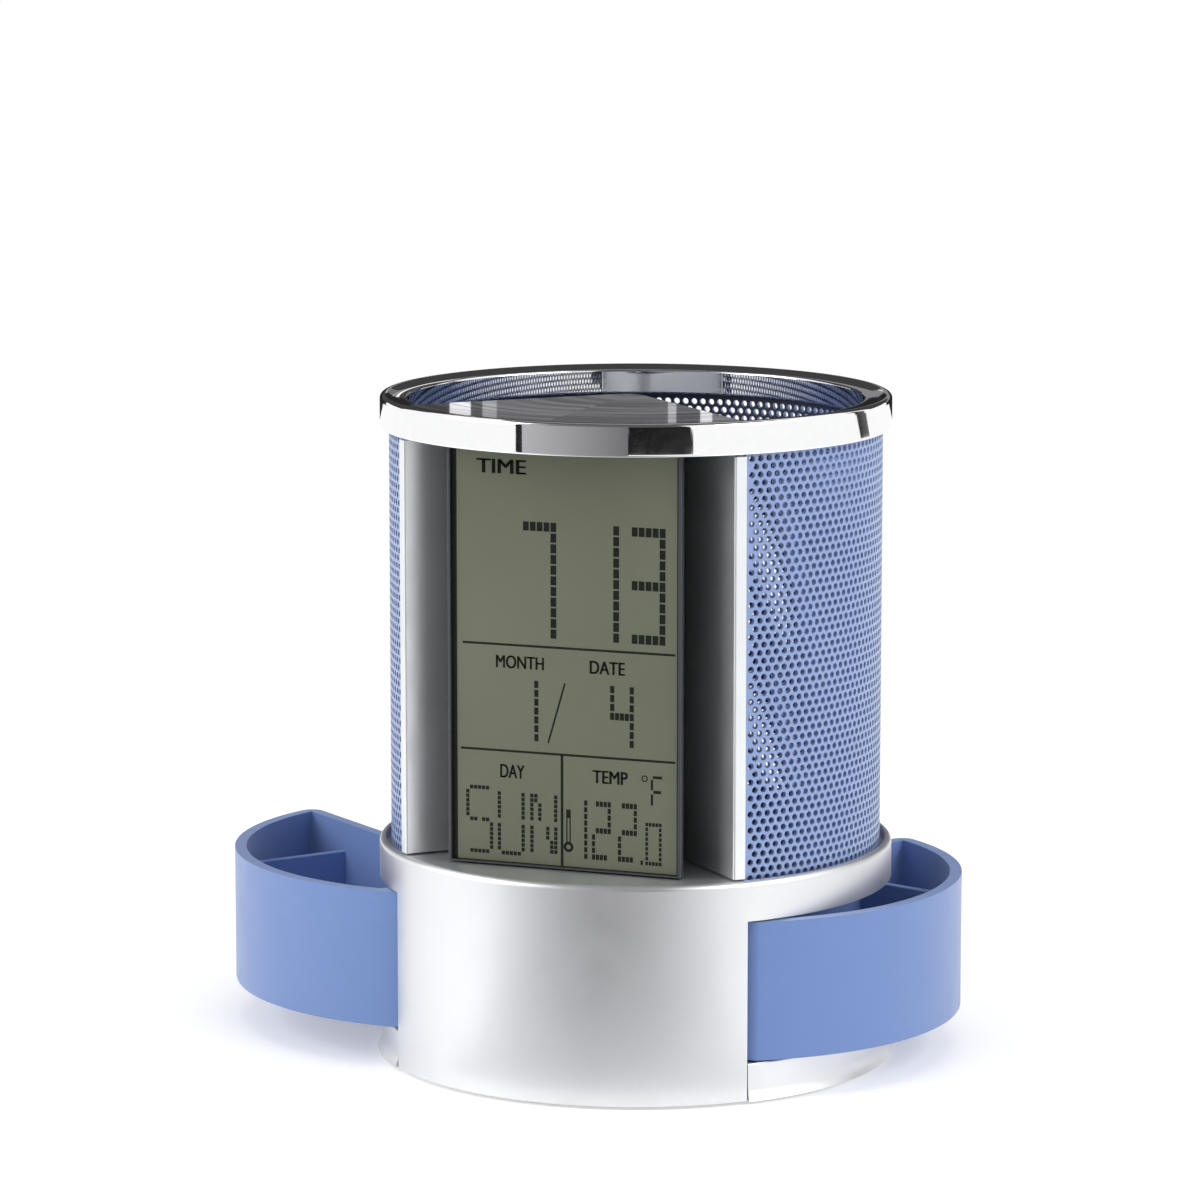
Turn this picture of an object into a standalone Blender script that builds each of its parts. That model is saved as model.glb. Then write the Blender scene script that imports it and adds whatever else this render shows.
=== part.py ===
"""Desk pen holder with a digital clock: a round base with two swing-out trays, a perforated steel cup,
a wedge-shaped column that carries the display, and a plated rim.

Metres, +Z up. The upright axis of the cup is Z, the display faces -Y, and Z = 0 is the table.
Directions round the axis are in degrees: 0 is the front (-Y), 90 is the right-hand side (+X).
"""

import bmesh
import bpy
from math import acos, asin, atan2, ceil, cos, degrees, pi, radians, sin, sqrt
from mathutils import Matrix, Vector

# Clearances
FIT_GAP = 0.0003
RUN_GAP = 0.0003
PIN_GAP = 0.0001
OVERRUN = 0.002
SINK = 0.0005
WELD = 0.000001

# Base as a whole
BASE_RADIUS = 0.0430
BASE_HEIGHT = 0.0369
FOOT_PROUD = 0.0006
APRON_HALF_ANGLE = 45.5
SHELL_WALL = 0.0022
DECK_THICKNESS = 0.0024
BAND_HEIGHT = 0.0066
TOP_ROUNDING = 0.0010

# Groove in the deck that takes the foot of the perforated wall
GROOVE_OUTER_PLAY = 0.0009
GROOVE_DEPTH = 0.0018

# Lower tray
SKIRT_HEIGHT = 0.0067
SKIRT_STEP = 0.0003
SKIRT_FLARE = 0.0008
SKIRT_WALL = 0.0020
TRAY_FLOOR = 0.0024
RUNNER_WIDTH = 0.0014
RUNNER_RADII = (0.0200, 0.0440)

# Hub wall between the two drawers, and the strip of outer wall behind it
HUB_HALF_WIDTH = 0.0096
HUB_WALL = 0.0012
HUB_FRONT = -0.0090

# Drawers
DRAWER_WALL = 0.0020
DRAWER_FLOOR = 0.0016
DRAWER_FACE = 0.0104
DRAWER_BEND = -0.0105
DRAWER_EDGE = 0.0006
DRAWER_CORNER = 0.0023
DIVIDER_PLACE = 0.0269
DIVIDER_THICKNESS = 0.0012
DIVIDER_DROP = 0.0050
BARREL_RADIUS = 0.0024
BARREL_GAP = 0.0004
RIGHT_OPENING = 18.3
LEFT_OPENING = 53.0

# Hinge pins
PIN_RADIUS = 0.0010
PIN_SOCKET = 0.0020
PIN_CHAMFER = 0.0002

# Column: the V-shaped wall that closes the wedge, with its two upright wings
WING_INSET = 0.0007
COLUMN_WALL = 0.0022
COLUMN_NOSE = 0.0035
COLUMN_HALF_ANGLE = 45.5
COLUMN_SCREW_PLACE = -0.0082
COLUMN_BOSS_HEIGHT = 0.0100
WEB_THICKNESS = 0.0014

# Plated rim
RIM_INSET = 0.0005
RIM_TOP = 0.1114
RIM_HEIGHT = 0.0054
RIM_LAP = 0.0024
RIM_BAND = 0.0011
RIM_LIP = 0.0016
RIM_CHANNEL_ROOF = 0.0016
RIM_EDGE = 0.0007
RIM_DISH = 0.0006
RIM_DECK = 0.0014
RIM_DECK_DROP = 0.0001
RIM_SKIRT = 0.0016

# Perforated wall, with its fine perforation drawn coarser than it is but as open
MESH_INSET = 0.0020
MESH_THICKNESS = 0.0008
MESH_SIDE_MARGIN = 0.0020
MESH_FOOT_MARGIN = 0.0024
MESH_HEAD_MARGIN = 0.0044
HOLE_PITCH = 0.0130
HOLE_ROW = 0.0111
HOLE_RADIUS = 0.0042

# Cup floor mat
MAT_THICKNESS = 0.0012
MAT_SIDE_ANGLE = 1.0

# Clock module
CASE_FRONT = -0.0332
CASE_HALF_WIDTH = 0.02025
CASE_BACK = -0.0170
CASE_BACK_HALF_WIDTH = 0.0130
CASE_CHEEK = 0.0027
CASE_WALL = 0.0007
CASE_LIP = 0.0005
WINDOW_HALF_WIDTH = 0.0191
WINDOW_MARGIN = 0.0015
GLASS_GAP = 0.0002
GLASS_THICKNESS = 0.0019
GLASS_HALF_WIDTH = 0.01925
RETAINER_THICKNESS = 0.0009
RETAINER_HALF_WIDTH = 0.0182
RETAINER_BAR = 0.0056
RETAINER_SIDE = 0.0040
STAKE_RADIUS = 0.0009
STAKE_HEAD_RADIUS = 0.0015
STAKE_HEAD = 0.0006
STAKE_GAP = 0.0002
STAKE_INSET = 0.0020
STRIP_HEIGHT = 0.0026
STRIP_HALF_WIDTH = 0.0160
STRIP_RISE = 0.0010
BOARD_THICKNESS = 0.0010
BOARD_HALF_WIDTH = 0.0174
BLOB_RADIUS = 0.0045
BLOB_HEIGHT = 0.0016
BLOB_CLEARANCE = 0.0052
CRYSTAL_RADIUS = 0.0010
CRYSTAL_LENGTH = 0.0060
CRYSTAL_PLACE = 0.0090
SOUNDER_RADIUS = 0.0048
SOUNDER_LENGTH = 0.0045
SOUNDER_HOLE = 0.0012
SOUNDER_DROP = 0.0105
SENSOR_RADIUS = 0.0009
SENSOR_LENGTH = 0.0024
SENSOR_PLACE = -0.0120
MODULE_BOSS_PLACE = (0.0149, -0.0256)
MODULE_BOSS_RADIUS = 0.0019
MODULE_BOSS_HEIGHT = 0.0080

# Battery bay
CELL_RADIUS = 0.00525
CELL_LENGTH = 0.0445
CELL_NUB_RADIUS = 0.0019
CELL_NUB = 0.0010
CELL_PITCH = 0.0110
CELL_PLACE = -0.0205
CELL_EDGE = 0.0004
HOLDER_WALL = 0.0012
HOLDER_GAP = 0.00025
CONTACT_THICKNESS = 0.0004
CONTACT_HALF_WIDTH = 0.0034
CONTACT_TAB_HALF_WIDTH = 0.0012
CONTACT_TAB_HEIGHT = 0.0040
SPRING_SPACE = 0.0030
SPRING_WIRE = 0.00025
SPRING_WIDE = 0.0034
SPRING_NARROW = 0.0018
SPRING_TURNS = 3
SPRING_STEPS = 8

# Battery door
DOOR_HALF_WIDTH = 0.0140
DOOR_FRONT = -0.0284
DOOR_REAR = -0.0086
DOOR_THICKNESS = 0.0012
DOOR_CORNER = 0.0020
DOOR_RECESS = 0.0015
DOOR_SCREW_PLACE = -0.0112
DOOR_TAB_WIDTH = 0.0030
DOOR_TAB_REACH = 0.0012
DOOR_TAB_THICKNESS = 0.0005
DOOR_TAB_PLACE = 0.0080

# Feet
FOOT_RADIUS = 0.0040
FOOT_SINK = 0.0008
FOOT_INSET = 0.0065
FOOT_ANGLES = (60.0, 140.0, 220.0, 300.0)

# Screws
SCREW_RADIUS = 0.0011
SCREW_HOLE_RADIUS = 0.0013
SCREW_HEAD_RADIUS = 0.0023
SCREW_HEAD = 0.0010
SCREW_LENGTH = 0.0075
SCREW_SLOT = 0.0005
POST_RADIUS = 0.0026
COUNTERBORE = 0.0013
SMALL_SCREW_LENGTH = 0.0042
FRONT_SCREW_INSET = 0.0100
FRONT_SCREW_ANGLE = 38.0
MIDDLE_SCREW_PLACE = 0.0050
REAR_SCREW_INSET = 0.0090
DOOR_SCREW_HEAD = 0.0007
DOOR_COUNTERBORE = 0.0008
WIRE_HOLE_RADIUS = 0.0022
WIRE_HOLE_PLACE = -0.0010

# Setting buttons and their board
BUTTON_COLUMN = 0.0046
BUTTON_ROWS = (0.0120, 0.0200)
BUTTON_RADIUS = 0.0021
BUTTON_GAP = 0.0003
BUTTON_PROUD = 0.0003
BUTTON_FLANGE_RADIUS = 0.0028
BUTTON_FLANGE = 0.0007
BUTTON_DISH = 0.0003
SWITCH_SIDE = 0.0046
SWITCH_HEIGHT = 0.0012
SWITCH_GAP = 0.0005
BUTTON_BOARD_HALF_WIDTH = 0.0078
BUTTON_BOARD_MARGIN = 0.0030
BUTTON_BOARD_THICKNESS = 0.0010

# How finely round shapes are divided
BIG_STEPS = 60
ARC_STEP = 6.0
SMALL_SIDES = 12
TINY_SIDES = 8
HOLE_SIDES = 8
BARREL_STEPS = 8
CORNER_STEPS = 6
NOSE_STEPS = 6
SHARP_ANGLE = 35.0

# Radii that follow from the sizes above
WING_RADIUS = BASE_RADIUS - WING_INSET
RIM_RADIUS = BASE_RADIUS - RIM_INSET
MESH_RADIUS = BASE_RADIUS - MESH_INSET
MESH_INNER = MESH_RADIUS - MESH_THICKNESS
RIM_OPENING = MESH_INNER - RIM_LAP
GROOVE_OUTER = MESH_RADIUS + GROOVE_OUTER_PLAY
GROOVE_INNER = MESH_INNER - FIT_GAP
WINDOW_REACH = GROOVE_INNER - SHELL_WALL
FOOT_CIRCLE = BASE_RADIUS - FOOT_INSET
FRONT_SCREW_CIRCLE = BASE_RADIUS - FRONT_SCREW_INSET
REAR_SCREW_PLACE = BASE_RADIUS - REAR_SCREW_INSET

# Heights that follow from the sizes above
RIM_LOW = RIM_TOP - RIM_HEIGHT
FLOOR_LOW = FOOT_PROUD
FLOOR_TOP = FLOOR_LOW + TRAY_FLOOR
BAND_LOW = BASE_HEIGHT - BAND_HEIGHT
DECK_LOW = BASE_HEIGHT - DECK_THICKNESS
DRAWER_LOW = SKIRT_HEIGHT + RUN_GAP
DRAWER_TOP = BAND_LOW - RUN_GAP
COLUMN_LOW = BASE_HEIGHT + FIT_GAP
COLUMN_TOP = RIM_LOW - FIT_GAP
PIVOT_RADIUS = BASE_RADIUS - BARREL_RADIUS
PIVOT_ANGLE = APRON_HALF_ANGLE + degrees(asin((BARREL_RADIUS + BARREL_GAP) / PIVOT_RADIUS))
CELL_BORE = CELL_RADIUS + HOLDER_GAP
GLASS_FRONT = CASE_FRONT + CASE_LIP + GLASS_GAP
GLASS_BACK = GLASS_FRONT + GLASS_THICKNESS
RETAINER_FRONT = GLASS_BACK + GLASS_GAP
RETAINER_BACK = RETAINER_FRONT + RETAINER_THICKNESS
BOARD_FRONT = RETAINER_BACK + FIT_GAP
BOARD_BACK = BOARD_FRONT + BOARD_THICKNESS
MODULE_LOW = COLUMN_LOW + CASE_WALL + FIT_GAP
MODULE_TOP = COLUMN_TOP - CASE_WALL - FIT_GAP
DOOR_LOW = FLOOR_LOW
DOOR_TOP = DOOR_LOW + DOOR_THICKNESS
BRIDGE_LOW = DOOR_TOP + FIT_GAP
BRIDGE_TOP = BRIDGE_LOW + CONTACT_THICKNESS
CELL_LOW = BRIDGE_TOP + FIT_GAP
CONTACT_LOW = CELL_LOW + CELL_LENGTH + SPRING_SPACE + FIT_GAP
HOLDER_ROOF = CONTACT_LOW + CONTACT_THICKNESS + FIT_GAP
HOLDER_TOP = HOLDER_ROOF + HOLDER_WALL
CHIP_PLACE = HOLDER_TOP + BLOB_CLEARANCE + BLOB_RADIUS
HOLDER_LOW = FLOOR_TOP + FIT_GAP
FLANGE_LOW = FLOOR_TOP + FIT_GAP
FLANGE_TOP = FLANGE_LOW + BUTTON_FLANGE
SWITCH_LOW = FLANGE_TOP + SWITCH_GAP
BUTTON_BOARD_LOW = SWITCH_LOW + SWITCH_HEIGHT + FIT_GAP
BUTTON_BOARD_TOP = BUTTON_BOARD_LOW + BUTTON_BOARD_THICKNESS


def clear_scene():
    for thing in list(bpy.data.objects):
        bpy.data.objects.remove(thing, do_unlink=True)


def material(name, colour, roughness, metallic=0.0):
    """One Principled material, made once and shared by name."""
    found = bpy.data.materials.get(name)
    if found:
        return found
    made = bpy.data.materials.new(name)
    made.use_nodes = True
    shader = made.node_tree.nodes["Principled BSDF"]
    shader.inputs["Base Color"].default_value = (*colour, 1.0)
    shader.inputs["Roughness"].default_value = roughness
    shader.inputs["Metallic"].default_value = metallic
    return made


def silver():
    return material("silver_plastic", (0.62, 0.63, 0.66), 0.35, 0.6)


def blue():
    return material("blue_plastic", (0.16, 0.25, 0.56), 0.45)


def blue_steel():
    return material("blue_painted_steel", (0.20, 0.29, 0.62), 0.4, 0.2)


def plated():
    return material("plated_plastic", (0.85, 0.85, 0.87), 0.06, 1.0)


def dark():
    return material("dark_plastic", (0.05, 0.052, 0.055), 0.5)


def rubber():
    return material("rubber", (0.02, 0.02, 0.02), 0.85)


def steel():
    return material("steel", (0.6, 0.6, 0.6), 0.3, 1.0)


def display_glass():
    return material("display_glass", (0.16, 0.17, 0.12), 0.2)


def board_green():
    return material("circuit_board", (0.02, 0.16, 0.06), 0.5)


def foam():
    return material("floor_mat", (0.03, 0.04, 0.10), 0.9)


def cell_jacket():
    return material("cell_jacket", (0.10, 0.10, 0.11), 0.35, 0.5)


def spot(radius, angle):
    """The point at this radius and direction round the upright axis."""
    return radius * sin(radians(angle)), -radius * cos(radians(angle))


def arc(radius, start, end, step=ARC_STEP):
    """Points of a circle round the upright axis, from one direction to another."""
    count = max(1, ceil(abs(end - start) / step - WELD))
    return [spot(radius, start + (end - start) * i / count) for i in range(count + 1)]


def circle(centre, radius, sides=SMALL_SIDES):
    turns = [2 * pi * (i + 1 / 2) / sides for i in range(sides)]
    return [(centre[0] + radius * cos(turn), centre[1] + radius * sin(turn)) for turn in turns]


def rectangle(left, front, right, back):
    return [(left, front), (right, front), (right, back), (left, back)]


def rounded_rectangle(left, front, right, back, radius, steps=3):
    """A rectangle with round corners, anticlockwise from its right front corner."""
    corners = [(right, front, -90), (right, back, 0), (left, back, 90), (left, front, 180)]
    points = []
    for x, y, turn in corners:
        middle_x = x - radius if x == right else x + radius
        middle_y = y - radius if y == back else y + radius
        for i in range(steps + 1):
            angle = radians(turn + 90 * i / steps)
            points.append((middle_x + radius * cos(angle), middle_y + radius * sin(angle)))
    return points


def stadium(half_pitch, place, radius, sides=SMALL_SIDES):
    """Two half circles side by side along X, joined by straight runs."""
    points = []
    for side, turn in ((1, -90), (-1, 90)):
        for i in range(sides // 2 + 1):
            angle = radians(turn + 360 * i / sides)
            points.append((side * half_pitch + radius * cos(angle), place + radius * sin(angle)))
    return points


def sector(inner, outer, start, end, step=ARC_STEP):
    return arc(outer, start, end, step) + arc(inner, end, start, step)


def add_object(name, bm, finish=None):
    bmesh.ops.recalc_face_normals(bm, faces=bm.faces)
    mesh = bpy.data.meshes.new(name)
    bm.to_mesh(mesh)
    bm.free()
    made = bpy.data.objects.new(name, mesh)
    bpy.context.scene.collection.objects.link(made)
    if finish:
        mesh.materials.append(finish)
    mesh.shade_smooth()
    mesh.set_sharp_from_angle(angle=radians(SHARP_ANGLE))
    return made


def prism(name, outline, low, high, finish=None):
    """An upright solid with this outline, from one height to another."""
    bm = bmesh.new()
    face = bm.faces.new([bm.verts.new((x, y, low)) for x, y in outline])
    raised = bmesh.ops.extrude_face_region(bm, geom=[face])
    tops = [item for item in raised["geom"] if isinstance(item, bmesh.types.BMVert)]
    bmesh.ops.translate(bm, verts=tops, vec=(0, 0, high - low))
    return add_object(name, bm, finish)


def upright_plate(name, outline, front, back, finish=None):
    """A solid with this outline in X and Z, from one depth to another along Y."""
    bm = bmesh.new()
    face = bm.faces.new([bm.verts.new((x, front, z)) for x, z in outline])
    raised = bmesh.ops.extrude_face_region(bm, geom=[face])
    tops = [item for item in raised["geom"] if isinstance(item, bmesh.types.BMVert)]
    bmesh.ops.translate(bm, verts=tops, vec=(0, back - front, 0))
    return add_object(name, bm, finish)


def turned(name, profile, finish=None, steps=BIG_STEPS, centre=(0.0, 0.0)):
    """A closed profile of (radius, height) turned all the way round an upright axis."""
    bm = bmesh.new()
    first = [bm.verts.new((*spot(radius, 0.0), height)) for radius, height in profile]
    edges = [bm.edges.new((a, b)) for a, b in zip(first, first[1:] + first[:1])]
    bmesh.ops.spin(
        bm,
        geom=first + edges,
        cent=(0, 0, 0),
        axis=(0, 0, 1),
        angle=2 * pi,
        steps=steps,
        use_merge=True,
        use_duplicate=False,
    )
    bmesh.ops.remove_doubles(bm, verts=bm.verts, dist=WELD)
    bmesh.ops.translate(bm, verts=bm.verts, vec=(centre[0], centre[1], 0))
    return add_object(name, bm, finish)


def combine(target, others, operation):
    """Joins or cuts the target with each of the others, which are used up."""
    for other in others:
        step = target.modifiers.new("combine", "BOOLEAN")
        step.operation = operation
        step.solver = "EXACT"
        step.object = other
        graph = bpy.context.evaluated_depsgraph_get()
        shaped = bpy.data.meshes.new_from_object(target.evaluated_get(graph))
        target.modifiers.clear()
        target.data = shaped
        bpy.data.objects.remove(other, do_unlink=True)
    target.data.shade_smooth()
    target.data.set_sharp_from_angle(angle=radians(SHARP_ANGLE))
    return target


def join(target, *others):
    return combine(target, others, "UNION")


def cut(target, *others):
    return combine(target, others, "DIFFERENCE")


def round_edges(target, chosen, width, segments=2):
    """Rounds the edges for which chosen(first end, second end) is true."""
    bm = bmesh.new()
    bm.from_mesh(target.data)
    edges = [edge for edge in bm.edges if chosen(edge.verts[0].co, edge.verts[1].co)]
    bmesh.ops.bevel(bm, geom=edges, offset=width, segments=segments, affect="EDGES", profile=0.5)
    bm.to_mesh(target.data)
    bm.free()
    target.data.shade_smooth()
    target.data.set_sharp_from_angle(angle=radians(SHARP_ANGLE))
    return target


def at_height(height):
    """A test for edges that lie in the level plane at this height."""
    return lambda a, b: abs(a.z - height) < WELD and abs(b.z - height) < WELD


def lay_along_y(target, place):
    """Turns an upright solid made round the origin so that its axis points back along +Y, from this place."""
    target.data.transform(Matrix.Translation(Vector(place)) @ Matrix.Rotation(radians(-90), 4, "X"))
    return target


def set_on_pivot(target, pivot, turn):
    """Moves the object's origin to the hinge axis and turns the object about it."""
    target.data.transform(Matrix.Translation((-pivot[0], -pivot[1], 0)))
    target.location = (pivot[0], pivot[1], 0)
    target.rotation_euler = (0, 0, radians(turn))
    return target


def screw_places():
    """The four screws that hold the lower tray to the shell."""
    front = [spot(FRONT_SCREW_CIRCLE, side * FRONT_SCREW_ANGLE) for side in (-1, 1)]
    return front + [(0.0, MIDDLE_SCREW_PLACE), (0.0, REAR_SCREW_PLACE)]


def button_places():
    return [(side * BUTTON_COLUMN, row) for row in BUTTON_ROWS for side in (-1, 1)]


def pivot_places():
    return [spot(PIVOT_RADIUS, side * PIVOT_ANGLE) for side in (-1, 1)]


def rear_half_angle(half_width, radius):
    """How far a strip of this half width reaches round the back of a circle."""
    return degrees(asin(half_width / radius))


def upper_shell():
    """Deck, band, front apron, rear strip and hub walls, one moulding open underneath."""
    inner = BASE_RADIUS - SHELL_WALL
    corner = [
        (
            BASE_RADIUS - TOP_ROUNDING * (1 - cos(radians(90 * i / 3))),
            BASE_HEIGHT - TOP_ROUNDING * (1 - sin(radians(90 * i / 3))),
        )
        for i in range(4)
    ]
    inside = [(0.0, BASE_HEIGHT), (0.0, DECK_LOW), (inner, DECK_LOW), (inner, FLOOR_LOW)]
    profile = [(BASE_RADIUS, FLOOR_LOW)] + corner + inside
    shell = turned("base_upper_shell", profile, silver())

    reach = BASE_RADIUS + OVERRUN
    rear = rear_half_angle(HUB_HALF_WIDTH, BASE_RADIUS)
    for side in (-1, 1):
        window = sector(WINDOW_REACH, reach, side * APRON_HALF_ANGLE, side * (180 - rear))
        cut(shell, prism("window", window, -OVERRUN, BAND_LOW))
    below = sector(WINDOW_REACH, reach, 180 - 2 * rear, 180 + 2 * rear)
    cut(shell, prism("below_strip", below, -OVERRUN, SKIRT_HEIGHT + FIT_GAP))

    groove = sector(
        GROOVE_INNER,
        GROOVE_OUTER,
        APRON_HALF_ANGLE,
        360 - APRON_HALF_ANGLE,
    )
    cut(shell, prism("groove", groove, BASE_HEIGHT - GROOVE_DEPTH, BASE_HEIGHT + OVERRUN))

    hub_back = sqrt(inner**2 - HUB_HALF_WIDTH**2) + SINK
    hub_low = FLOOR_TOP + FIT_GAP
    for side in (-1, 1):
        outer_face = side * HUB_HALF_WIDTH
        inner_face = side * (HUB_HALF_WIDTH - HUB_WALL)
        left, right = sorted((outer_face, inner_face))
        wall = prism("hub_wall", rectangle(left, HUB_FRONT, right, hub_back), hub_low, DECK_LOW + SINK)
        join(shell, wall)
    cut(shell, prism("below_hub", below_hub_outline(), -OVERRUN, SKIRT_HEIGHT + FIT_GAP))
    for place in screw_places():
        join(shell, prism("post", circle(place, POST_RADIUS), hub_low, DECK_LOW + SINK))
        cut(shell, prism("thread", circle(place, SCREW_HOLE_RADIUS), 0.0, hub_low + SCREW_LENGTH + FIT_GAP))
    for place in pivot_places():
        join(shell, prism("pivot_boss", circle(place, BARREL_RADIUS), BAND_LOW, DECK_LOW + SINK))
        socket_top = BAND_LOW + PIN_SOCKET + FIT_GAP
        cut(shell, prism("pivot_socket", circle(place, PIN_RADIUS + PIN_GAP), 0.0, socket_top))

    bay = stadium(CELL_PITCH / 2, CELL_PLACE, CELL_BORE + HOLDER_WALL + FIT_GAP)
    cut(shell, prism("bay", bay, BAND_LOW, BASE_HEIGHT + OVERRUN))
    wires = circle((0.0, WIRE_HOLE_PLACE), WIRE_HOLE_RADIUS)
    cut(shell, prism("wires", wires, BAND_LOW, BASE_HEIGHT + OVERRUN))
    for place in column_screw_places():
        cut(shell, prism("hole", circle(place, SCREW_HOLE_RADIUS), BAND_LOW, BASE_HEIGHT + OVERRUN))
    return shell


def below_hub_outline():
    """The part of the hub walls that would stand on the tray's skirt at the back."""
    inner = BASE_RADIUS - SKIRT_WALL - SKIRT_STEP - FIT_GAP
    angle = 2 * rear_half_angle(HUB_HALF_WIDTH, BASE_RADIUS)
    return sector(inner, BASE_RADIUS + OVERRUN, 180 - angle, 180 + angle)


def column_screw_places():
    """Screws from under the deck into the column's nose and into the clock case."""
    return [
        (0.0, COLUMN_SCREW_PLACE),
        (-MODULE_BOSS_PLACE[0], MODULE_BOSS_PLACE[1]),
        MODULE_BOSS_PLACE,
    ]


def lower_tray():
    """Floor and skirt under the drawers, with runners, pivot posts and the battery opening."""
    outer = BASE_RADIUS - SKIRT_STEP
    inner = outer - SKIRT_WALL
    profile = [
        (0.0, FLOOR_LOW),
        (outer + SKIRT_FLARE, FLOOR_LOW),
        (outer, SKIRT_HEIGHT / 2),
        (outer, SKIRT_HEIGHT),
        (inner, SKIRT_HEIGHT),
        (inner, FLOOR_TOP),
        (0.0, FLOOR_TOP),
    ]
    tray = turned("base_lower_tray", profile, silver())
    apron_room = BASE_RADIUS - SHELL_WALL - FIT_GAP
    seam = degrees(FIT_GAP / BASE_RADIUS)
    front = sector(apron_room, BASE_RADIUS + OVERRUN, -APRON_HALF_ANGLE - seam, APRON_HALF_ANGLE + seam)
    cut(tray, prism("apron_room", front, -OVERRUN, SKIRT_HEIGHT + OVERRUN))

    for side, pivot in zip((-1, 1), pivot_places()):
        for radius in RUNNER_RADII:
            join(tray, runner(side, pivot, radius))
        post = circle(pivot, BARREL_RADIUS - FIT_GAP)
        join(tray, prism("pivot_post", post, FLOOR_LOW + SINK, SKIRT_HEIGHT))
        socket = circle(pivot, PIN_RADIUS + PIN_GAP)
        socket_low = SKIRT_HEIGHT - PIN_SOCKET - FIT_GAP
        cut(tray, prism("pivot_socket", socket, socket_low, SKIRT_HEIGHT + OVERRUN))

    for place in screw_places():
        cut(tray, prism("hole", circle(place, SCREW_HOLE_RADIUS), -OVERRUN, FLOOR_TOP + OVERRUN))
        sink = circle(place, SCREW_HEAD_RADIUS + FIT_GAP)
        cut(tray, prism("counterbore", sink, -OVERRUN, FLOOR_LOW + COUNTERBORE))
    for angle in FOOT_ANGLES:
        pocket = circle(spot(FOOT_CIRCLE, angle), FOOT_RADIUS + FIT_GAP, 2 * TINY_SIDES)
        cut(tray, prism("foot_pocket", pocket, -OVERRUN, FLOOR_LOW + FOOT_SINK))
    for place in button_places():
        hole = circle(place, BUTTON_RADIUS + BUTTON_GAP)
        cut(tray, prism("button_hole", hole, -OVERRUN, FLOOR_TOP + OVERRUN))

    gap = FIT_GAP
    recess = rounded_rectangle(
        -DOOR_HALF_WIDTH - gap, DOOR_FRONT - gap, DOOR_HALF_WIDTH + gap, DOOR_REAR + gap, DOOR_CORNER + gap
    )
    cut(tray, prism("door_recess", recess, -OVERRUN, FLOOR_LOW + DOOR_RECESS))
    cut(tray, prism("cell_opening", stadium(CELL_PITCH / 2, CELL_PLACE, CELL_BORE), 0.0, FLOOR_TOP + OVERRUN))
    for side in (-1, 1):
        middle = side * DOOR_TAB_PLACE
        half = DOOR_TAB_WIDTH / 2 + gap
        slot = rectangle(middle - half, DOOR_FRONT - DOOR_TAB_REACH - gap, middle + half, DOOR_FRONT)
        low = DOOR_TOP - DOOR_TAB_THICKNESS - gap
        cut(tray, prism("tab_slot", slot, low, FLOOR_LOW + DOOR_RECESS))
    place = (0.0, DOOR_SCREW_PLACE)
    boss_top = DOOR_TOP + SMALL_SCREW_LENGTH + gap
    join(tray, prism("door_boss", circle(place, POST_RADIUS), FLOOR_LOW + DOOR_RECESS + gap, boss_top))
    cut(tray, prism("door_thread", circle(place, SCREW_HOLE_RADIUS), 0.0, boss_top - gap))
    board_post = (0.0, sum(BUTTON_ROWS) / 2)
    join(tray, prism("board_post", circle(board_post, POST_RADIUS), FLOOR_TOP - SINK, BUTTON_BOARD_LOW - gap))
    thread = circle(board_post, SCREW_HOLE_RADIUS)
    cut(tray, prism("board_thread", thread, FLOOR_TOP, BUTTON_BOARD_LOW + OVERRUN))
    return tray


def runner(side, pivot, radius):
    """A low rib on the tray's floor, curved round the drawer's hinge, that the drawer slides on."""
    rib = turned(
        "runner",
        [
            (radius, FLOOR_TOP - SINK),
            (radius + RUNNER_WIDTH, FLOOR_TOP - SINK),
            (radius + RUNNER_WIDTH, SKIRT_HEIGHT),
            (radius, SKIRT_HEIGHT),
        ],
        steps=BIG_STEPS // 2,
        centre=pivot,
    )
    limit = BASE_RADIUS - SKIRT_STEP - SKIRT_WALL / 2
    rear = rear_half_angle(HUB_HALF_WIDTH, limit)
    start, end = sorted((side * (APRON_HALF_ANGLE + PIVOT_ANGLE) / 2 + side * rear, side * (180 - 2 * rear)))
    room = [(side * (DRAWER_FACE + RUN_GAP), 0.0)] + arc(limit, start, end)
    keep = prism("runner_room", room, FLOOR_TOP - 2 * SINK, SKIRT_HEIGHT + OVERRUN)
    return combine(rib, [keep], "INTERSECT")


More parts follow.
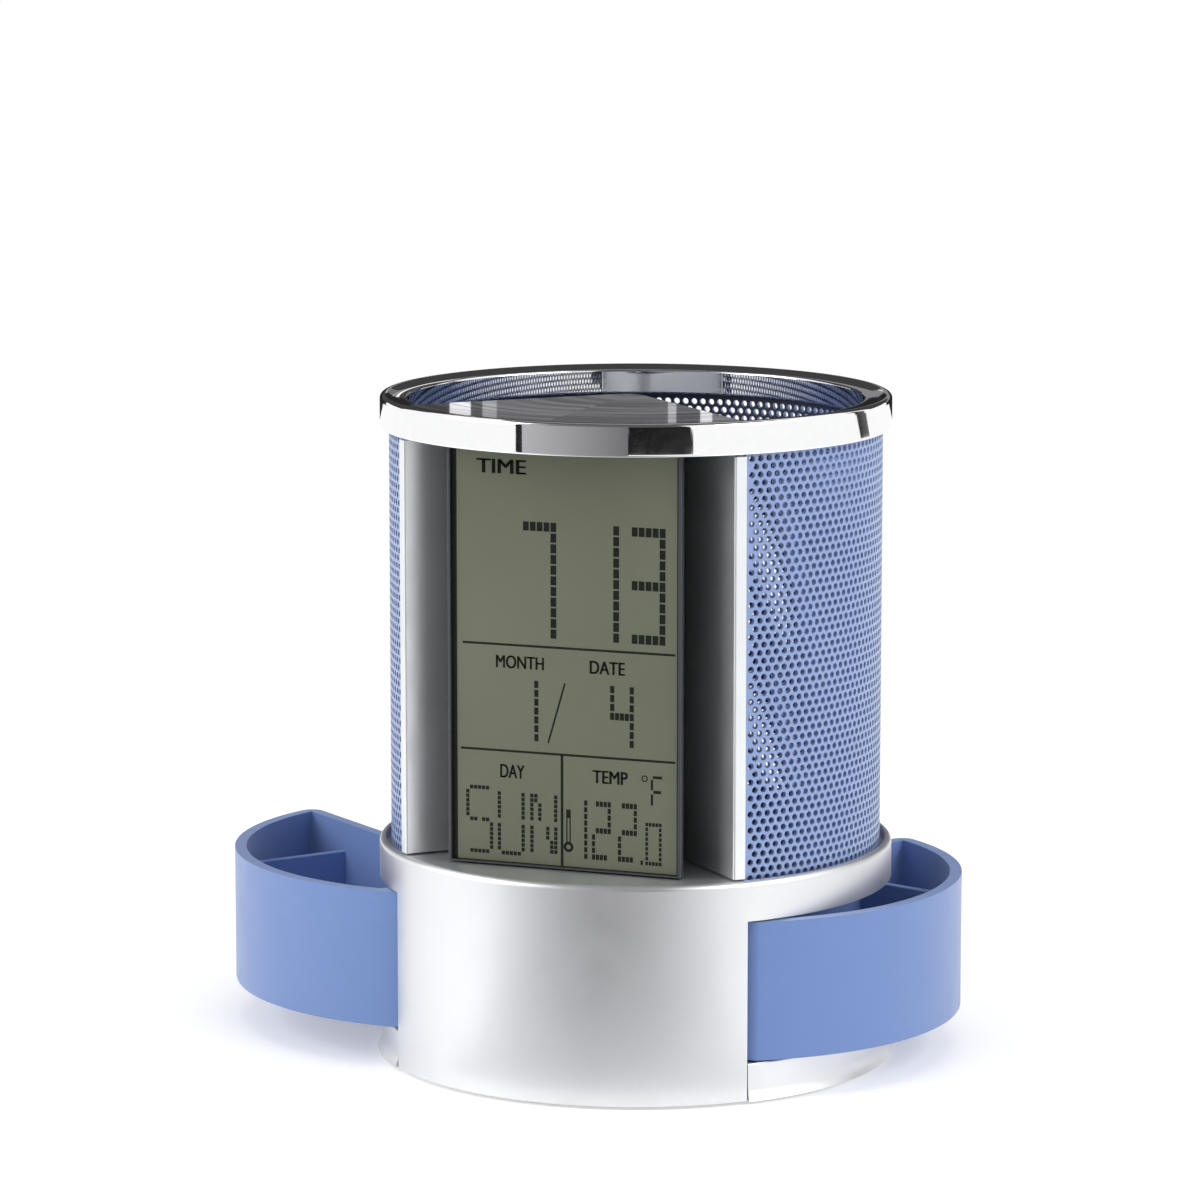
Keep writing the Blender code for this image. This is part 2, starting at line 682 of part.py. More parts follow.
def drawer_outline(inset):
    """Outline of the right-hand drawer when shut, drawn in by a wall thickness for the pocket inside it."""
    pivot = Vector(spot(PIVOT_RADIUS, PIVOT_ANGLE))
    bend = Vector((DRAWER_FACE, DRAWER_BEND))
    to_bend = bend - pivot
    lean = acos(BARREL_RADIUS / to_bend.length)
    heading = atan2(to_bend.y, to_bend.x) + lean
    outward = Vector((cos(heading), sin(heading)))
    outer = BASE_RADIUS - inset
    face = DRAWER_FACE + inset
    corner_x = DRAWER_FACE + DRAWER_CORNER
    corner_y = sqrt((BASE_RADIUS - DRAWER_CORNER) ** 2 - corner_x**2)
    round_start = atan2(corner_y, corner_x)
    corner_turns = [round_start + (pi - round_start) * (i + 1) / CORNER_STEPS for i in range(CORNER_STEPS)]
    corner_size = DRAWER_CORNER - inset
    corner = [(corner_x + corner_size * cos(turn), corner_y + corner_size * sin(turn)) for turn in corner_turns]
    back = 90 + degrees(round_start)

    def on_front_wall(x):
        """The front wall's inner or outer face at this distance from the middle plane."""
        distance = BARREL_RADIUS - inset
        return x, pivot.y + (distance - (x - pivot.x) * outward.x) / outward.y

    if inset == 0:
        turn_start = degrees(heading)
        turn_end = PIVOT_ANGLE - 90
        if turn_end < turn_start:
            turn_end += 360
        step = (turn_end - turn_start) / BARREL_STEPS
        turns = [radians(turn_start + step * i) for i in range(BARREL_STEPS)]
        nose = [(pivot.x + BARREL_RADIUS * cos(turn), pivot.y + BARREL_RADIUS * sin(turn)) for turn in turns]
        return nose + arc(outer, PIVOT_ANGLE, back) + corner + [on_front_wall(face)]
    start = PIVOT_ANGLE + degrees((BARREL_RADIUS + inset) / outer)
    near_x = pivot.x - (BARREL_RADIUS + inset) * abs(outward.y)
    return arc(outer, start, back) + corner + [on_front_wall(face), on_front_wall(near_x)]


def drawer(name, side, opening):
    """Swing-out tray: curved outer wall, straight inner wall, low divider, hinge barrel at the front."""
    pivot = spot(PIVOT_RADIUS, PIVOT_ANGLE)
    body = prism(name, drawer_outline(0.0), DRAWER_LOW, DRAWER_TOP, blue())
    pocket = prism("pocket", drawer_outline(DRAWER_WALL), DRAWER_LOW + DRAWER_FLOOR, DRAWER_TOP + OVERRUN)
    cut(body, pocket)
    round_edges(body, at_height(DRAWER_TOP), DRAWER_EDGE)
    divider_back = DIVIDER_PLACE + DIVIDER_THICKNESS
    reach = sqrt((BASE_RADIUS - DRAWER_WALL / 2) ** 2 - divider_back**2)
    across = rectangle(DRAWER_FACE + DRAWER_WALL / 2, DIVIDER_PLACE, reach, divider_back)
    join(body, prism("divider", across, DRAWER_LOW + DRAWER_FLOOR / 2, DRAWER_TOP - DIVIDER_DROP))
    cut(body, prism("bore", circle(pivot, PIN_RADIUS + PIN_GAP), 0.0, BASE_HEIGHT))
    if side < 0:
        body.data.transform(Matrix.Scale(-1, 4, (1, 0, 0)))
        body.data.flip_normals()
    return set_on_pivot(body, (side * pivot[0], pivot[1]), -side * opening)


def hinge_pin(name, place):
    low = SKIRT_HEIGHT - PIN_SOCKET
    high = BAND_LOW + PIN_SOCKET
    profile = [
        (0.0, low),
        (PIN_RADIUS - PIN_CHAMFER, low),
        (PIN_RADIUS, low + PIN_CHAMFER),
        (PIN_RADIUS, high - PIN_CHAMFER),
        (PIN_RADIUS - PIN_CHAMFER, high),
        (0.0, high),
    ]
    return turned(name, profile, steel(), steps=SMALL_SIDES, centre=place)


def nose_points(radius):
    """The round end of the wedge, drawn from its right-hand side to its left-hand side."""
    lean = radians(COLUMN_HALF_ANGLE)
    centre = -COLUMN_NOSE / sin(lean)
    turns = [(pi / 2 - lean) * (1 - 2 * i / NOSE_STEPS) for i in range(NOSE_STEPS + 1)]
    return [(radius * sin(turn), centre + radius * cos(turn)) for turn in turns]


def wedge_wall(reach, thickness):
    """Outline of a V-shaped wall whose outer faces are the wedge's two sides, out to this radius."""
    lean = radians(COLUMN_HALF_ANGLE)
    tip = sqrt(reach**2 - thickness**2)

    def along(distance, side, inset):
        x = distance * sin(lean) - inset * cos(lean)
        return side * x, -distance * cos(lean) - inset * sin(lean)

    return [
        along(reach, 1, 0.0),
        *nose_points(COLUMN_NOSE),
        along(reach, -1, 0.0),
        along(tip, -1, thickness),
        *nose_points(COLUMN_NOSE - thickness)[::-1],
        along(tip, 1, thickness),
    ]


def column():
    """V-shaped wall from the deck to the rim; its two wings end nearly flush with the base."""
    wall = prism("display_column", wedge_wall(WING_RADIUS, COLUMN_WALL), COLUMN_LOW, COLUMN_TOP, silver())
    place = (0.0, COLUMN_SCREW_PLACE)
    high = COLUMN_LOW + COLUMN_BOSS_HEIGHT
    web_back = nose_points(COLUMN_NOSE - COLUMN_WALL)[NOSE_STEPS // 2][1] + SINK
    half = WEB_THICKNESS / 2
    boss = prism("boss", circle(place, POST_RADIUS), COLUMN_LOW, high)
    join(boss, prism("web", rectangle(-half, COLUMN_SCREW_PLACE, half, web_back), COLUMN_LOW, high))
    join(wall, boss)
    cut(wall, prism("thread", circle(place, SCREW_HOLE_RADIUS), 0.0, high - COLUMN_WALL))
    return wall


def perforated_wall():
    """Steel sheet curved round the back three quarters of the cup, with staggered rows of round holes."""
    foot = BASE_HEIGHT - GROOVE_DEPTH + FIT_GAP
    head = RIM_TOP - RIM_CHANNEL_ROOF - FIT_GAP
    edge = COLUMN_HALF_ANGLE + degrees(FIT_GAP / MESH_INNER)
    start = edge + degrees(MESH_SIDE_MARGIN / MESH_RADIUS)
    across = int((360 - 2 * start) / degrees(HOLE_PITCH / MESH_RADIUS) - 1 / 2)
    half_step = (360 - 2 * start) / (2 * across + 1)
    low = foot + MESH_FOOT_MARGIN
    high = head - MESH_HEAD_MARGIN
    rows = int((high - low) / HOLE_ROW - 1 / 3)
    row_step = (high - low) / (rows + 1 / 3)
    tooth = row_step / 3
    angles = [edge] + [start + half_step * k for k in range(2 * across + 2)] + [360 - edge]
    bm = bmesh.new()

    def line(heights):
        return [bm.verts.new((*spot(MESH_RADIUS, angle), height)) for angle, height in zip(angles, heights)]

    def zigzag(j):
        """The border between two rows of six-sided cells, one cell round each hole."""
        return line([low + row_step * j + tooth * ((k + j) % 2) for k in range(len(angles))])

    lines = [line([foot] * len(angles))] + [zigzag(j) for j in range(rows + 1)] + [line([head] * len(angles))]
    for strip, (lower, upper) in enumerate(zip(lines, lines[1:])):
        j = strip - 1
        first = 1 + j % 2
        holed = range(first, first + 2 * across) if 0 <= j < rows else ()
        for k in range(len(angles) - 1):
            if k not in holed:
                bm.faces.new((lower[k], lower[k + 1], upper[k + 1], upper[k]))
        for k in holed[::2]:
            middle = low + row_step * j + (row_step + tooth) / 2
            ring = hole_ring(bm, angles[k + 1], middle)
            half = HOLE_SIDES // 2
            bm.faces.new((lower[k + 1], lower[k + 2], upper[k + 2], upper[k + 1], *ring[: half + 1][::-1]))
            bm.faces.new((upper[k + 1], upper[k], lower[k], lower[k + 1], ring[0], *ring[half:][::-1]))
    return curved_sheet("perforated_wall", bm, MESH_INNER / MESH_RADIUS, blue_steel())


def hole_ring(bm, angle, height):
    """Corners of a round hole in the sheet, from its lowest, towards rising directions first."""
    turns = [2 * pi * i / HOLE_SIDES for i in range(HOLE_SIDES)]
    reach = degrees(HOLE_RADIUS / MESH_RADIUS)
    places = [(angle + reach * sin(turn), height - HOLE_RADIUS * cos(turn)) for turn in turns]
    return [bm.verts.new((*spot(MESH_RADIUS, direction), z)) for direction, z in places]


def curved_sheet(name, bm, inner_share, finish):
    """Gives the open sheet its thickness, towards the upright axis."""
    raised = bmesh.ops.extrude_face_region(bm, geom=bm.faces[:])
    inner = [item for item in raised["geom"] if isinstance(item, bmesh.types.BMVert)]
    bmesh.ops.scale(bm, verts=inner, vec=(inner_share, inner_share, 1))
    return add_object(name, bm, finish)


def rim():
    """Plated ring with a channel for the sheet, a shallow dish on top, and the deck that covers the wedge."""
    outer = RIM_RADIUS
    channel_outer = RIM_RADIUS - RIM_BAND
    channel_inner = RIM_OPENING + RIM_LIP
    roof = RIM_TOP - RIM_CHANNEL_ROOF
    turns = (0.0, pi / 4, pi / 2)
    upper_edge = [(outer - RIM_EDGE * (1 - cos(turn)), RIM_TOP - RIM_EDGE * (1 - sin(turn))) for turn in turns]
    profile = [
        (outer, RIM_LOW),
        *upper_edge,
        (outer - 2 * RIM_EDGE, RIM_TOP),
        ((outer + RIM_OPENING) / 2, RIM_TOP - RIM_DISH),
        (RIM_OPENING + RIM_EDGE, RIM_TOP - RIM_DISH),
        (RIM_OPENING, RIM_TOP - RIM_DISH - RIM_EDGE),
        (RIM_OPENING, RIM_LOW + RIM_EDGE),
        (channel_inner, RIM_LOW + RIM_EDGE),
        (channel_inner, roof),
        (channel_outer, roof),
        (channel_outer, RIM_LOW),
    ]
    ring = turned("top_rim", profile, plated())
    side = RIM_OPENING + RIM_LIP / 2
    wedge = nose_points(COLUMN_NOSE) + arc(outer - 2 * RIM_EDGE, -COLUMN_HALF_ANGLE, COLUMN_HALF_ANGLE)
    deck_top = RIM_TOP - RIM_DECK_DROP
    deck = prism("deck", wedge, deck_top - RIM_DECK, deck_top)
    join(deck, prism("skirt", wedge_wall(side, RIM_SKIRT), RIM_LOW, deck_top - RIM_DECK / 2))
    join(ring, deck)
    return ring


def mat():
    """Soft mat on the deck inside the cup."""
    side = COLUMN_HALF_ANGLE + MAT_SIDE_ANGLE
    outline = [
        spot(2 * COLUMN_NOSE, COLUMN_HALF_ANGLE + 2 * ARC_STEP),
        *arc(GROOVE_INNER - FIT_GAP, side, 360 - side),
        spot(2 * COLUMN_NOSE, -COLUMN_HALF_ANGLE - 2 * ARC_STEP),
        (0.0, 2 * FIT_GAP),
    ]
    low = BASE_HEIGHT + FIT_GAP
    return prism("cup_floor_mat", outline, low, low + MAT_THICKNESS, foam())


def case_half_width(depth, inset=0.0):
    """Half the width of the clock case at this depth: upright cheeks, then sides that draw in."""
    cheek_end = CASE_FRONT + CASE_CHEEK
    slope = (CASE_HALF_WIDTH - CASE_BACK_HALF_WIDTH) / (CASE_BACK - cheek_end)
    width = CASE_HALF_WIDTH - max(0.0, depth - cheek_end) * slope
    return width - inset


def case_outline(inset, front, back):
    cheek_end = CASE_FRONT + CASE_CHEEK
    right = [(case_half_width(depth, inset), depth) for depth in (front, cheek_end, back)]
    return right + [(-x, y) for x, y in right[::-1]]


def clock_case():
    """Dark housing with a thin frame round the display, open towards the column's nose."""
    case = prism("clock_case", case_outline(0.0, CASE_FRONT, CASE_BACK), COLUMN_LOW, COLUMN_TOP, dark())
    room = case_outline(CASE_WALL, CASE_FRONT + CASE_LIP, CASE_BACK + OVERRUN)
    cut(case, prism("room", room, COLUMN_LOW + CASE_WALL, COLUMN_TOP - CASE_WALL))
    window = rectangle(
        -WINDOW_HALF_WIDTH,
        COLUMN_LOW + WINDOW_MARGIN,
        WINDOW_HALF_WIDTH,
        COLUMN_TOP - WINDOW_MARGIN,
    )
    cut(case, upright_plate("window", window, CASE_FRONT - OVERRUN, CASE_FRONT + CASE_LIP + SINK))
    bay = stadium(CELL_PITCH / 2, CELL_PLACE, CELL_BORE + HOLDER_WALL + FIT_GAP)
    cut(case, prism("bay", bay, 0.0, COLUMN_LOW + CASE_WALL + SINK))
    low = COLUMN_LOW + CASE_WALL / 2
    high = COLUMN_LOW + MODULE_BOSS_HEIGHT
    for side in (-1, 1):
        x, y = side * MODULE_BOSS_PLACE[0], MODULE_BOSS_PLACE[1]
        boss = prism("boss", circle((x, y), MODULE_BOSS_RADIUS), low, high)
        wall_x = side * case_half_width(y, CASE_WALL / 2)
        left, right = sorted((x, wall_x))
        half = CASE_WALL / 2
        join(boss, prism("web", rectangle(left, y - half, right, y + half), low, high))
        join(case, boss)
        cut(case, prism("thread", circle((x, y), SCREW_HOLE_RADIUS, TINY_SIDES), 0.0, high - CASE_WALL))
    return case


def display():
    """Liquid crystal cell behind the window."""
    outline = rectangle(-GLASS_HALF_WIDTH, MODULE_LOW, GLASS_HALF_WIDTH, MODULE_TOP)
    return upright_plate("display_cell", outline, GLASS_FRONT, GLASS_BACK, display_glass())


def stake_places():
    side = RETAINER_HALF_WIDTH - STAKE_INSET
    inset = RETAINER_BAR + 2 * STAKE_INSET
    return [(turn * side, height) for turn in (-1, 1) for height in (MODULE_LOW + inset, MODULE_TOP - inset)]


def retainer():
    """Frame that holds the display in the case; four stakes pass through the board and hold it."""
    outline = rectangle(-RETAINER_HALF_WIDTH, MODULE_LOW, RETAINER_HALF_WIDTH, MODULE_TOP)
    frame = upright_plate("display_retainer", outline, RETAINER_FRONT, RETAINER_BACK, dark())
    side = RETAINER_HALF_WIDTH - RETAINER_SIDE
    opening = rectangle(-side, MODULE_LOW + RETAINER_BAR, side, MODULE_TOP - RETAINER_BAR)
    cut(frame, upright_plate("opening", opening, RETAINER_FRONT - OVERRUN, RETAINER_BACK + OVERRUN))
    half = STRIP_HALF_WIDTH + FIT_GAP
    strip_room = rectangle(
        -half,
        MODULE_LOW + STRIP_RISE - FIT_GAP,
        half,
        MODULE_LOW + STRIP_RISE + STRIP_HEIGHT + FIT_GAP,
    )
    cut(frame, upright_plate("strip_room", strip_room, RETAINER_FRONT - OVERRUN, RETAINER_BACK + OVERRUN))
    head_low = BOARD_BACK + FIT_GAP - RETAINER_FRONT
    for x, z in stake_places():
        profile = [
            (0.0, RETAINER_THICKNESS / 2),
            (STAKE_RADIUS, RETAINER_THICKNESS / 2),
            (STAKE_RADIUS, head_low),
            (STAKE_HEAD_RADIUS, head_low),
            (STAKE_HEAD_RADIUS - STAKE_HEAD / 2, head_low + STAKE_HEAD),
            (0.0, head_low + STAKE_HEAD),
        ]
        stake = turned("stake", profile, steps=TINY_SIDES)
        join(frame, lay_along_y(stake, (x, RETAINER_FRONT, z)))
    return frame


def contact_strip():
    """Elastomer strip that joins the display's edge to the board."""
    low = MODULE_LOW + STRIP_RISE
    outline = rectangle(-STRIP_HALF_WIDTH, low, STRIP_HALF_WIDTH, low + STRIP_HEIGHT)
    front = GLASS_BACK + GLASS_GAP
    return upright_plate("contact_strip", outline, front, BOARD_FRONT - GLASS_GAP, rubber())


def clock_board():
    outline = rectangle(-BOARD_HALF_WIDTH, MODULE_LOW, BOARD_HALF_WIDTH, MODULE_TOP)
    board = upright_plate("clock_board", outline, BOARD_FRONT, BOARD_BACK, board_green())
    for x, z in stake_places():
        outline = circle((0.0, 0.0), STAKE_RADIUS + STAKE_GAP, TINY_SIDES)
        hole = prism("hole", outline, -OVERRUN, BOARD_THICKNESS + OVERRUN)
        cut(board, lay_along_y(hole, (x, BOARD_FRONT, z)))
    return board


def chip_blob():
    """Resin drop over the clock chip."""
    count = 4
    turns = [radians(90 * i / count) for i in range(count + 1)]
    profile = [(0.0, 0.0)] + [(BLOB_RADIUS * cos(turn), BLOB_HEIGHT * sin(turn)) for turn in turns]
    blob = turned("chip_cover", profile, dark(), steps=SMALL_SIDES)
    return lay_along_y(blob, (0.0, BOARD_BACK + FIT_GAP, CHIP_PLACE))


def crystal():
    """Quartz can that keeps the clock's time."""
    low = CHIP_PLACE - CRYSTAL_LENGTH / 2
    edge = CRYSTAL_RADIUS / 4
    profile = [
        (0.0, low),
        (CRYSTAL_RADIUS, low),
        (CRYSTAL_RADIUS, low + CRYSTAL_LENGTH - edge),
        (CRYSTAL_RADIUS - edge, low + CRYSTAL_LENGTH),
        (0.0, low + CRYSTAL_LENGTH),
    ]
    place = (CRYSTAL_PLACE, BOARD_BACK + FIT_GAP + CRYSTAL_RADIUS)
    return turned("quartz_crystal", profile, steel(), steps=TINY_SIDES, centre=place)


def sensor():
    """Bead that measures the room's temperature."""
    low = CHIP_PLACE - SENSOR_LENGTH / 2
    edge = SENSOR_RADIUS / 3
    profile = [
        (0.0, low),
        (SENSOR_RADIUS - edge, low),
        (SENSOR_RADIUS, low + edge),
        (SENSOR_RADIUS, low + SENSOR_LENGTH - edge),
        (SENSOR_RADIUS - edge, low + SENSOR_LENGTH),
        (0.0, low + SENSOR_LENGTH),
    ]
    place = (SENSOR_PLACE, BOARD_BACK + FIT_GAP + SENSOR_RADIUS)
    return turned("temperature_sensor", profile, dark(), steps=TINY_SIDES, centre=place)


def sounder():
    """Alarm sounder on the back of the board, with its sound hole."""
    profile = [
        (0.0, 0.0),
        (SOUNDER_RADIUS, 0.0),
        (SOUNDER_RADIUS, SOUNDER_LENGTH),
        (SOUNDER_HOLE, SOUNDER_LENGTH),
        (SOUNDER_HOLE, SOUNDER_LENGTH / 2),
        (0.0, SOUNDER_LENGTH / 2),
    ]
    capsule = turned("alarm_sounder", profile, dark(), steps=SMALL_SIDES)
    return lay_along_y(capsule, (0.0, BOARD_BACK + FIT_GAP, COLUMN_TOP - SOUNDER_DROP))


def battery_holder():
    """Sleeve for two upright cells, open at the bottom, that hangs through the deck."""
    outer = stadium(CELL_PITCH / 2, CELL_PLACE, CELL_BORE + HOLDER_WALL)
    holder = prism("battery_holder", outer, HOLDER_LOW, HOLDER_TOP, dark())
    inner = stadium(CELL_PITCH / 2, CELL_PLACE, CELL_BORE)
    cut(holder, prism("room", inner, 0.0, HOLDER_ROOF))
    for side in (-1, 1):
        x = side * CELL_PITCH / 2
        half = CONTACT_TAB_HALF_WIDTH + FIT_GAP
        slot = rectangle(x - half, CELL_PLACE - FIT_GAP, x + half, CELL_PLACE + CONTACT_THICKNESS + FIT_GAP)
        cut(holder, prism("slot", slot, HOLDER_ROOF - OVERRUN, HOLDER_TOP + OVERRUN))
    return holder


def cell(name, side, nub_up):
    """One cell: plus end up or down, flat minus end against its spring."""
    x = side * CELL_PITCH / 2
    low = CELL_LOW + SPRING_SPACE if nub_up else CELL_LOW
    body = CELL_LENGTH - CELL_NUB
    profile = [
        (0.0, 0.0),
        (CELL_RADIUS - CELL_EDGE, 0.0),
        (CELL_RADIUS, CELL_EDGE),
        (CELL_RADIUS, body - CELL_EDGE),
        (CELL_RADIUS - CELL_EDGE, body),
        (CELL_NUB_RADIUS, body),
        (CELL_NUB_RADIUS, CELL_LENGTH),
        (0.0, CELL_LENGTH),
    ]
    placed = [(radius, low + height if nub_up else low + CELL_LENGTH - height) for radius, height in profile]
    return turned(name, placed, cell_jacket(), steps=SMALL_SIDES, centre=(x, CELL_PLACE))


def top_contact(name, side):
    """Contact plate under the holder's roof, with a solder tab that comes out through its slot."""
    x = side * CELL_PITCH / 2
    half = CONTACT_HALF_WIDTH
    outline = rectangle(x - half, CELL_PLACE - half, x + half, CELL_PLACE + half)
    plate = prism(name, outline, CONTACT_LOW, CONTACT_LOW + CONTACT_THICKNESS, steel())
    tab_half = CONTACT_TAB_HALF_WIDTH
    tab = rectangle(x - tab_half, CELL_PLACE, x + tab_half, CELL_PLACE + CONTACT_THICKNESS)
    tab_low = CONTACT_LOW + CONTACT_THICKNESS / 2
    return join(plate, prism("tab", tab, tab_low, CONTACT_LOW + CONTACT_TAB_HEIGHT))


def bridge_contact():
    """Plate on the battery door that joins the two cells."""
    half = CELL_PITCH / 2 + CONTACT_HALF_WIDTH
    outline = rounded_rectangle(
        -half, CELL_PLACE - CONTACT_HALF_WIDTH, half, CELL_PLACE + CONTACT_HALF_WIDTH, CONTACT_HALF_WIDTH / 2
    )
    return prism("battery_bridge", outline, BRIDGE_LOW, BRIDGE_TOP, steel())


def contact_spring(name, side, low, wide_end_down):
    """Cone-shaped spring that presses on a cell's minus end: a round wire along a narrowing coil."""
    x = side * CELL_PITCH / 2
    height = SPRING_SPACE - 2 * FIT_GAP - 2 * SPRING_WIRE
    points = SPRING_TURNS * SPRING_STEPS
    path = bpy.data.curves.new(name, "CURVE")
    path.dimensions = "3D"
    path.bevel_depth = SPRING_WIRE
    path.bevel_resolution = 0
    path.use_fill_caps = True
    line = path.splines.new("POLY")
    line.points.add(points)
    for i in range(points + 1):
        share = i / points
        radius = SPRING_WIDE + (SPRING_NARROW - SPRING_WIDE) * share
        turn = 2 * pi * i / SPRING_STEPS
        rise = height * (share if wide_end_down else 1 - share)
        z = low + FIT_GAP + SPRING_WIRE + rise
        line.points[i].co = (x + radius * cos(turn), CELL_PLACE + radius * sin(turn), z, 1.0)
    made = bpy.data.objects.new(name, path)
    path.materials.append(steel())
    bpy.context.scene.collection.objects.link(made)
    return made


def battery_door():
    outline = rounded_rectangle(-DOOR_HALF_WIDTH, DOOR_FRONT, DOOR_HALF_WIDTH, DOOR_REAR, DOOR_CORNER)
    door = prism("battery_door", outline, DOOR_LOW, DOOR_TOP, silver())
    for side in (-1, 1):
        middle = side * DOOR_TAB_PLACE
        half = DOOR_TAB_WIDTH / 2
        reach = DOOR_TAB_REACH
        tab = rectangle(middle - half, DOOR_FRONT - reach, middle + half, DOOR_FRONT + reach)
        join(door, prism("tab", tab, DOOR_TOP - DOOR_TAB_THICKNESS, DOOR_TOP))
    place = (0.0, DOOR_SCREW_PLACE)
    cut(door, prism("hole", circle(place, SCREW_HOLE_RADIUS), -OVERRUN, DOOR_TOP + OVERRUN))
    sink = circle(place, SCREW_HEAD_RADIUS + FIT_GAP)
    return cut(door, prism("counterbore", sink, -OVERRUN, DOOR_LOW + DOOR_COUNTERBORE))


def screw(name, place, seat, length, head=SCREW_HEAD):
    """Pan-head screw, head down against this height, with a cross recess."""
    high = seat - FIT_GAP
    head_low = high - head
    edge = head / 3
    profile = [
        (0.0, head_low),
        (SCREW_HEAD_RADIUS - edge, head_low),
        (SCREW_HEAD_RADIUS, head_low + edge),
        (SCREW_HEAD_RADIUS, high),
        (SCREW_RADIUS, high),
        (SCREW_RADIUS, high + length - SCREW_RADIUS),
        (0.0, high + length),
    ]
    made = turned(name, profile, steel(), steps=TINY_SIDES, centre=place)
    arm = SCREW_HEAD_RADIUS / 2
    half = SCREW_SLOT / 2
    x, y = place
    for wide, deep in ((arm, half), (half, arm)):
        slot = rectangle(x - wide, y - deep, x + wide, y + deep)
        cut(made, prism("slot", slot, head_low - OVERRUN, head_low + head / 2))
    return made


def foot(name, angle):
    """Rubber pad set into the underside."""
    high = FLOOR_LOW + FOOT_SINK - FIT_GAP
    edge = FOOT_PROUD / 2
    profile = [
        (0.0, 0.0),
        (FOOT_RADIUS - edge, 0.0),
        (FOOT_RADIUS, edge),
        (FOOT_RADIUS, high),
        (0.0, high),
    ]
    return turned(name, profile, rubber(), steps=2 * TINY_SIDES, centre=spot(FOOT_CIRCLE, angle))


def button(name, place):
    """Setting button pressed from below; its flange keeps it in the base."""
    low = FLOOR_LOW - BUTTON_PROUD
    profile = [
        (0.0, low + BUTTON_DISH),
        (BUTTON_RADIUS / 2, low + BUTTON_DISH / 2),
        (BUTTON_RADIUS, low),
        (BUTTON_RADIUS, FLANGE_LOW),
        (BUTTON_FLANGE_RADIUS, FLANGE_LOW),
        (BUTTON_FLANGE_RADIUS, FLANGE_TOP),
        (0.0, FLANGE_TOP),
    ]
    made = turned(name, profile, dark(), steps=SMALL_SIDES)
    made.location = (place[0], place[1], 0)
    return made


def key_switch(name, place):
    """Small switch under the board, worked by one button."""
    x, y = place
    half = SWITCH_SIDE / 2
    outline = rounded_rectangle(x - half, y - half, x + half, y + half, SWITCH_SIDE / 6, 2)
    return prism(name, outline, SWITCH_LOW, SWITCH_LOW + SWITCH_HEIGHT, dark())


def button_board():
    front = BUTTON_ROWS[0] - BUTTON_BOARD_MARGIN
    back = BUTTON_ROWS[1] + BUTTON_BOARD_MARGIN
    half = BUTTON_BOARD_HALF_WIDTH
    outline = rectangle(-half, front, half, back)
    board = prism("button_board", outline, BUTTON_BOARD_LOW, BUTTON_BOARD_TOP, board_green())
    hole = circle((0.0, sum(BUTTON_ROWS) / 2), SCREW_HOLE_RADIUS)
    return cut(board, prism("hole", hole, 0.0, BUTTON_BOARD_TOP + OVERRUN))


def board_screw():
    """Screw from above through the button board into the tray's post."""
    place = (0.0, sum(BUTTON_ROWS) / 2)
    made = screw("button_board_screw", (0.0, 0.0), 0.0, SMALL_SCREW_LENGTH - 2 * SCREW_SLOT)
    upside_down = Matrix.Translation((place[0], place[1], BUTTON_BOARD_TOP)) @ Matrix.Rotation(pi, 4, "X")
    made.data.transform(upside_down)
    return made


def build():
    clear_scene()
    upper_shell()
    lower_tray()
    drawer("drawer_right", 1, RIGHT_OPENING)
    drawer("drawer_left", -1, LEFT_OPENING)
    for side, place in zip(("left", "right"), pivot_places()):
        hinge_pin(f"hinge_pin_{side}", place)
    column()
    perforated_wall()
    rim()
    mat()
    clock_case()
    display()
    retainer()
    contact_strip()
    clock_board()
    chip_blob()
    crystal()
    sensor()
    sounder()
    battery_holder()
    cell("battery_cell_left", -1, True)
    cell("battery_cell_right", 1, False)
    top_contact("contact_plus", -1)
    top_contact("contact_minus", 1)
    bridge_contact()
    contact_spring("spring_lower", -1, CELL_LOW - FIT_GAP, True)
    contact_spring("spring_upper", 1, CONTACT_LOW - SPRING_SPACE, False)
    battery_door()
    door_seat = DOOR_LOW + DOOR_COUNTERBORE
    screw("battery_door_screw", (0.0, DOOR_SCREW_PLACE), door_seat, SMALL_SCREW_LENGTH, DOOR_SCREW_HEAD)
    for number, place in enumerate(screw_places(), 1):
        screw(f"base_screw_{number}", place, FLOOR_LOW + COUNTERBORE, SCREW_LENGTH)
    for number, place in enumerate(column_screw_places(), 1):
        screw(f"column_screw_{number}", place, DECK_LOW, SCREW_LENGTH)
    for number, angle in enumerate(FOOT_ANGLES, 1):
        foot(f"rubber_foot_{number}", angle)
    for number, place in enumerate(button_places(), 1):
        button(f"set_button_{number}", place)
        key_switch(f"key_switch_{number}", place)
    button_board()
    board_screw()


build()
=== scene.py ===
"""Pen holder clock: fine surfaces, finishes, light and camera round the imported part.

Metres, in the part's own frame: +Z up, the display faces -Y, and Z = 0 is the table.
Directions round the upright axis are in degrees: 0 is the front (-Y), 90 is the right-hand side (+X).
"""

from math import acos, asin, atan2, ceil, cos, degrees, pi, radians, sin, sqrt, tan

import bmesh
import bpy
from mathutils import Matrix, Vector


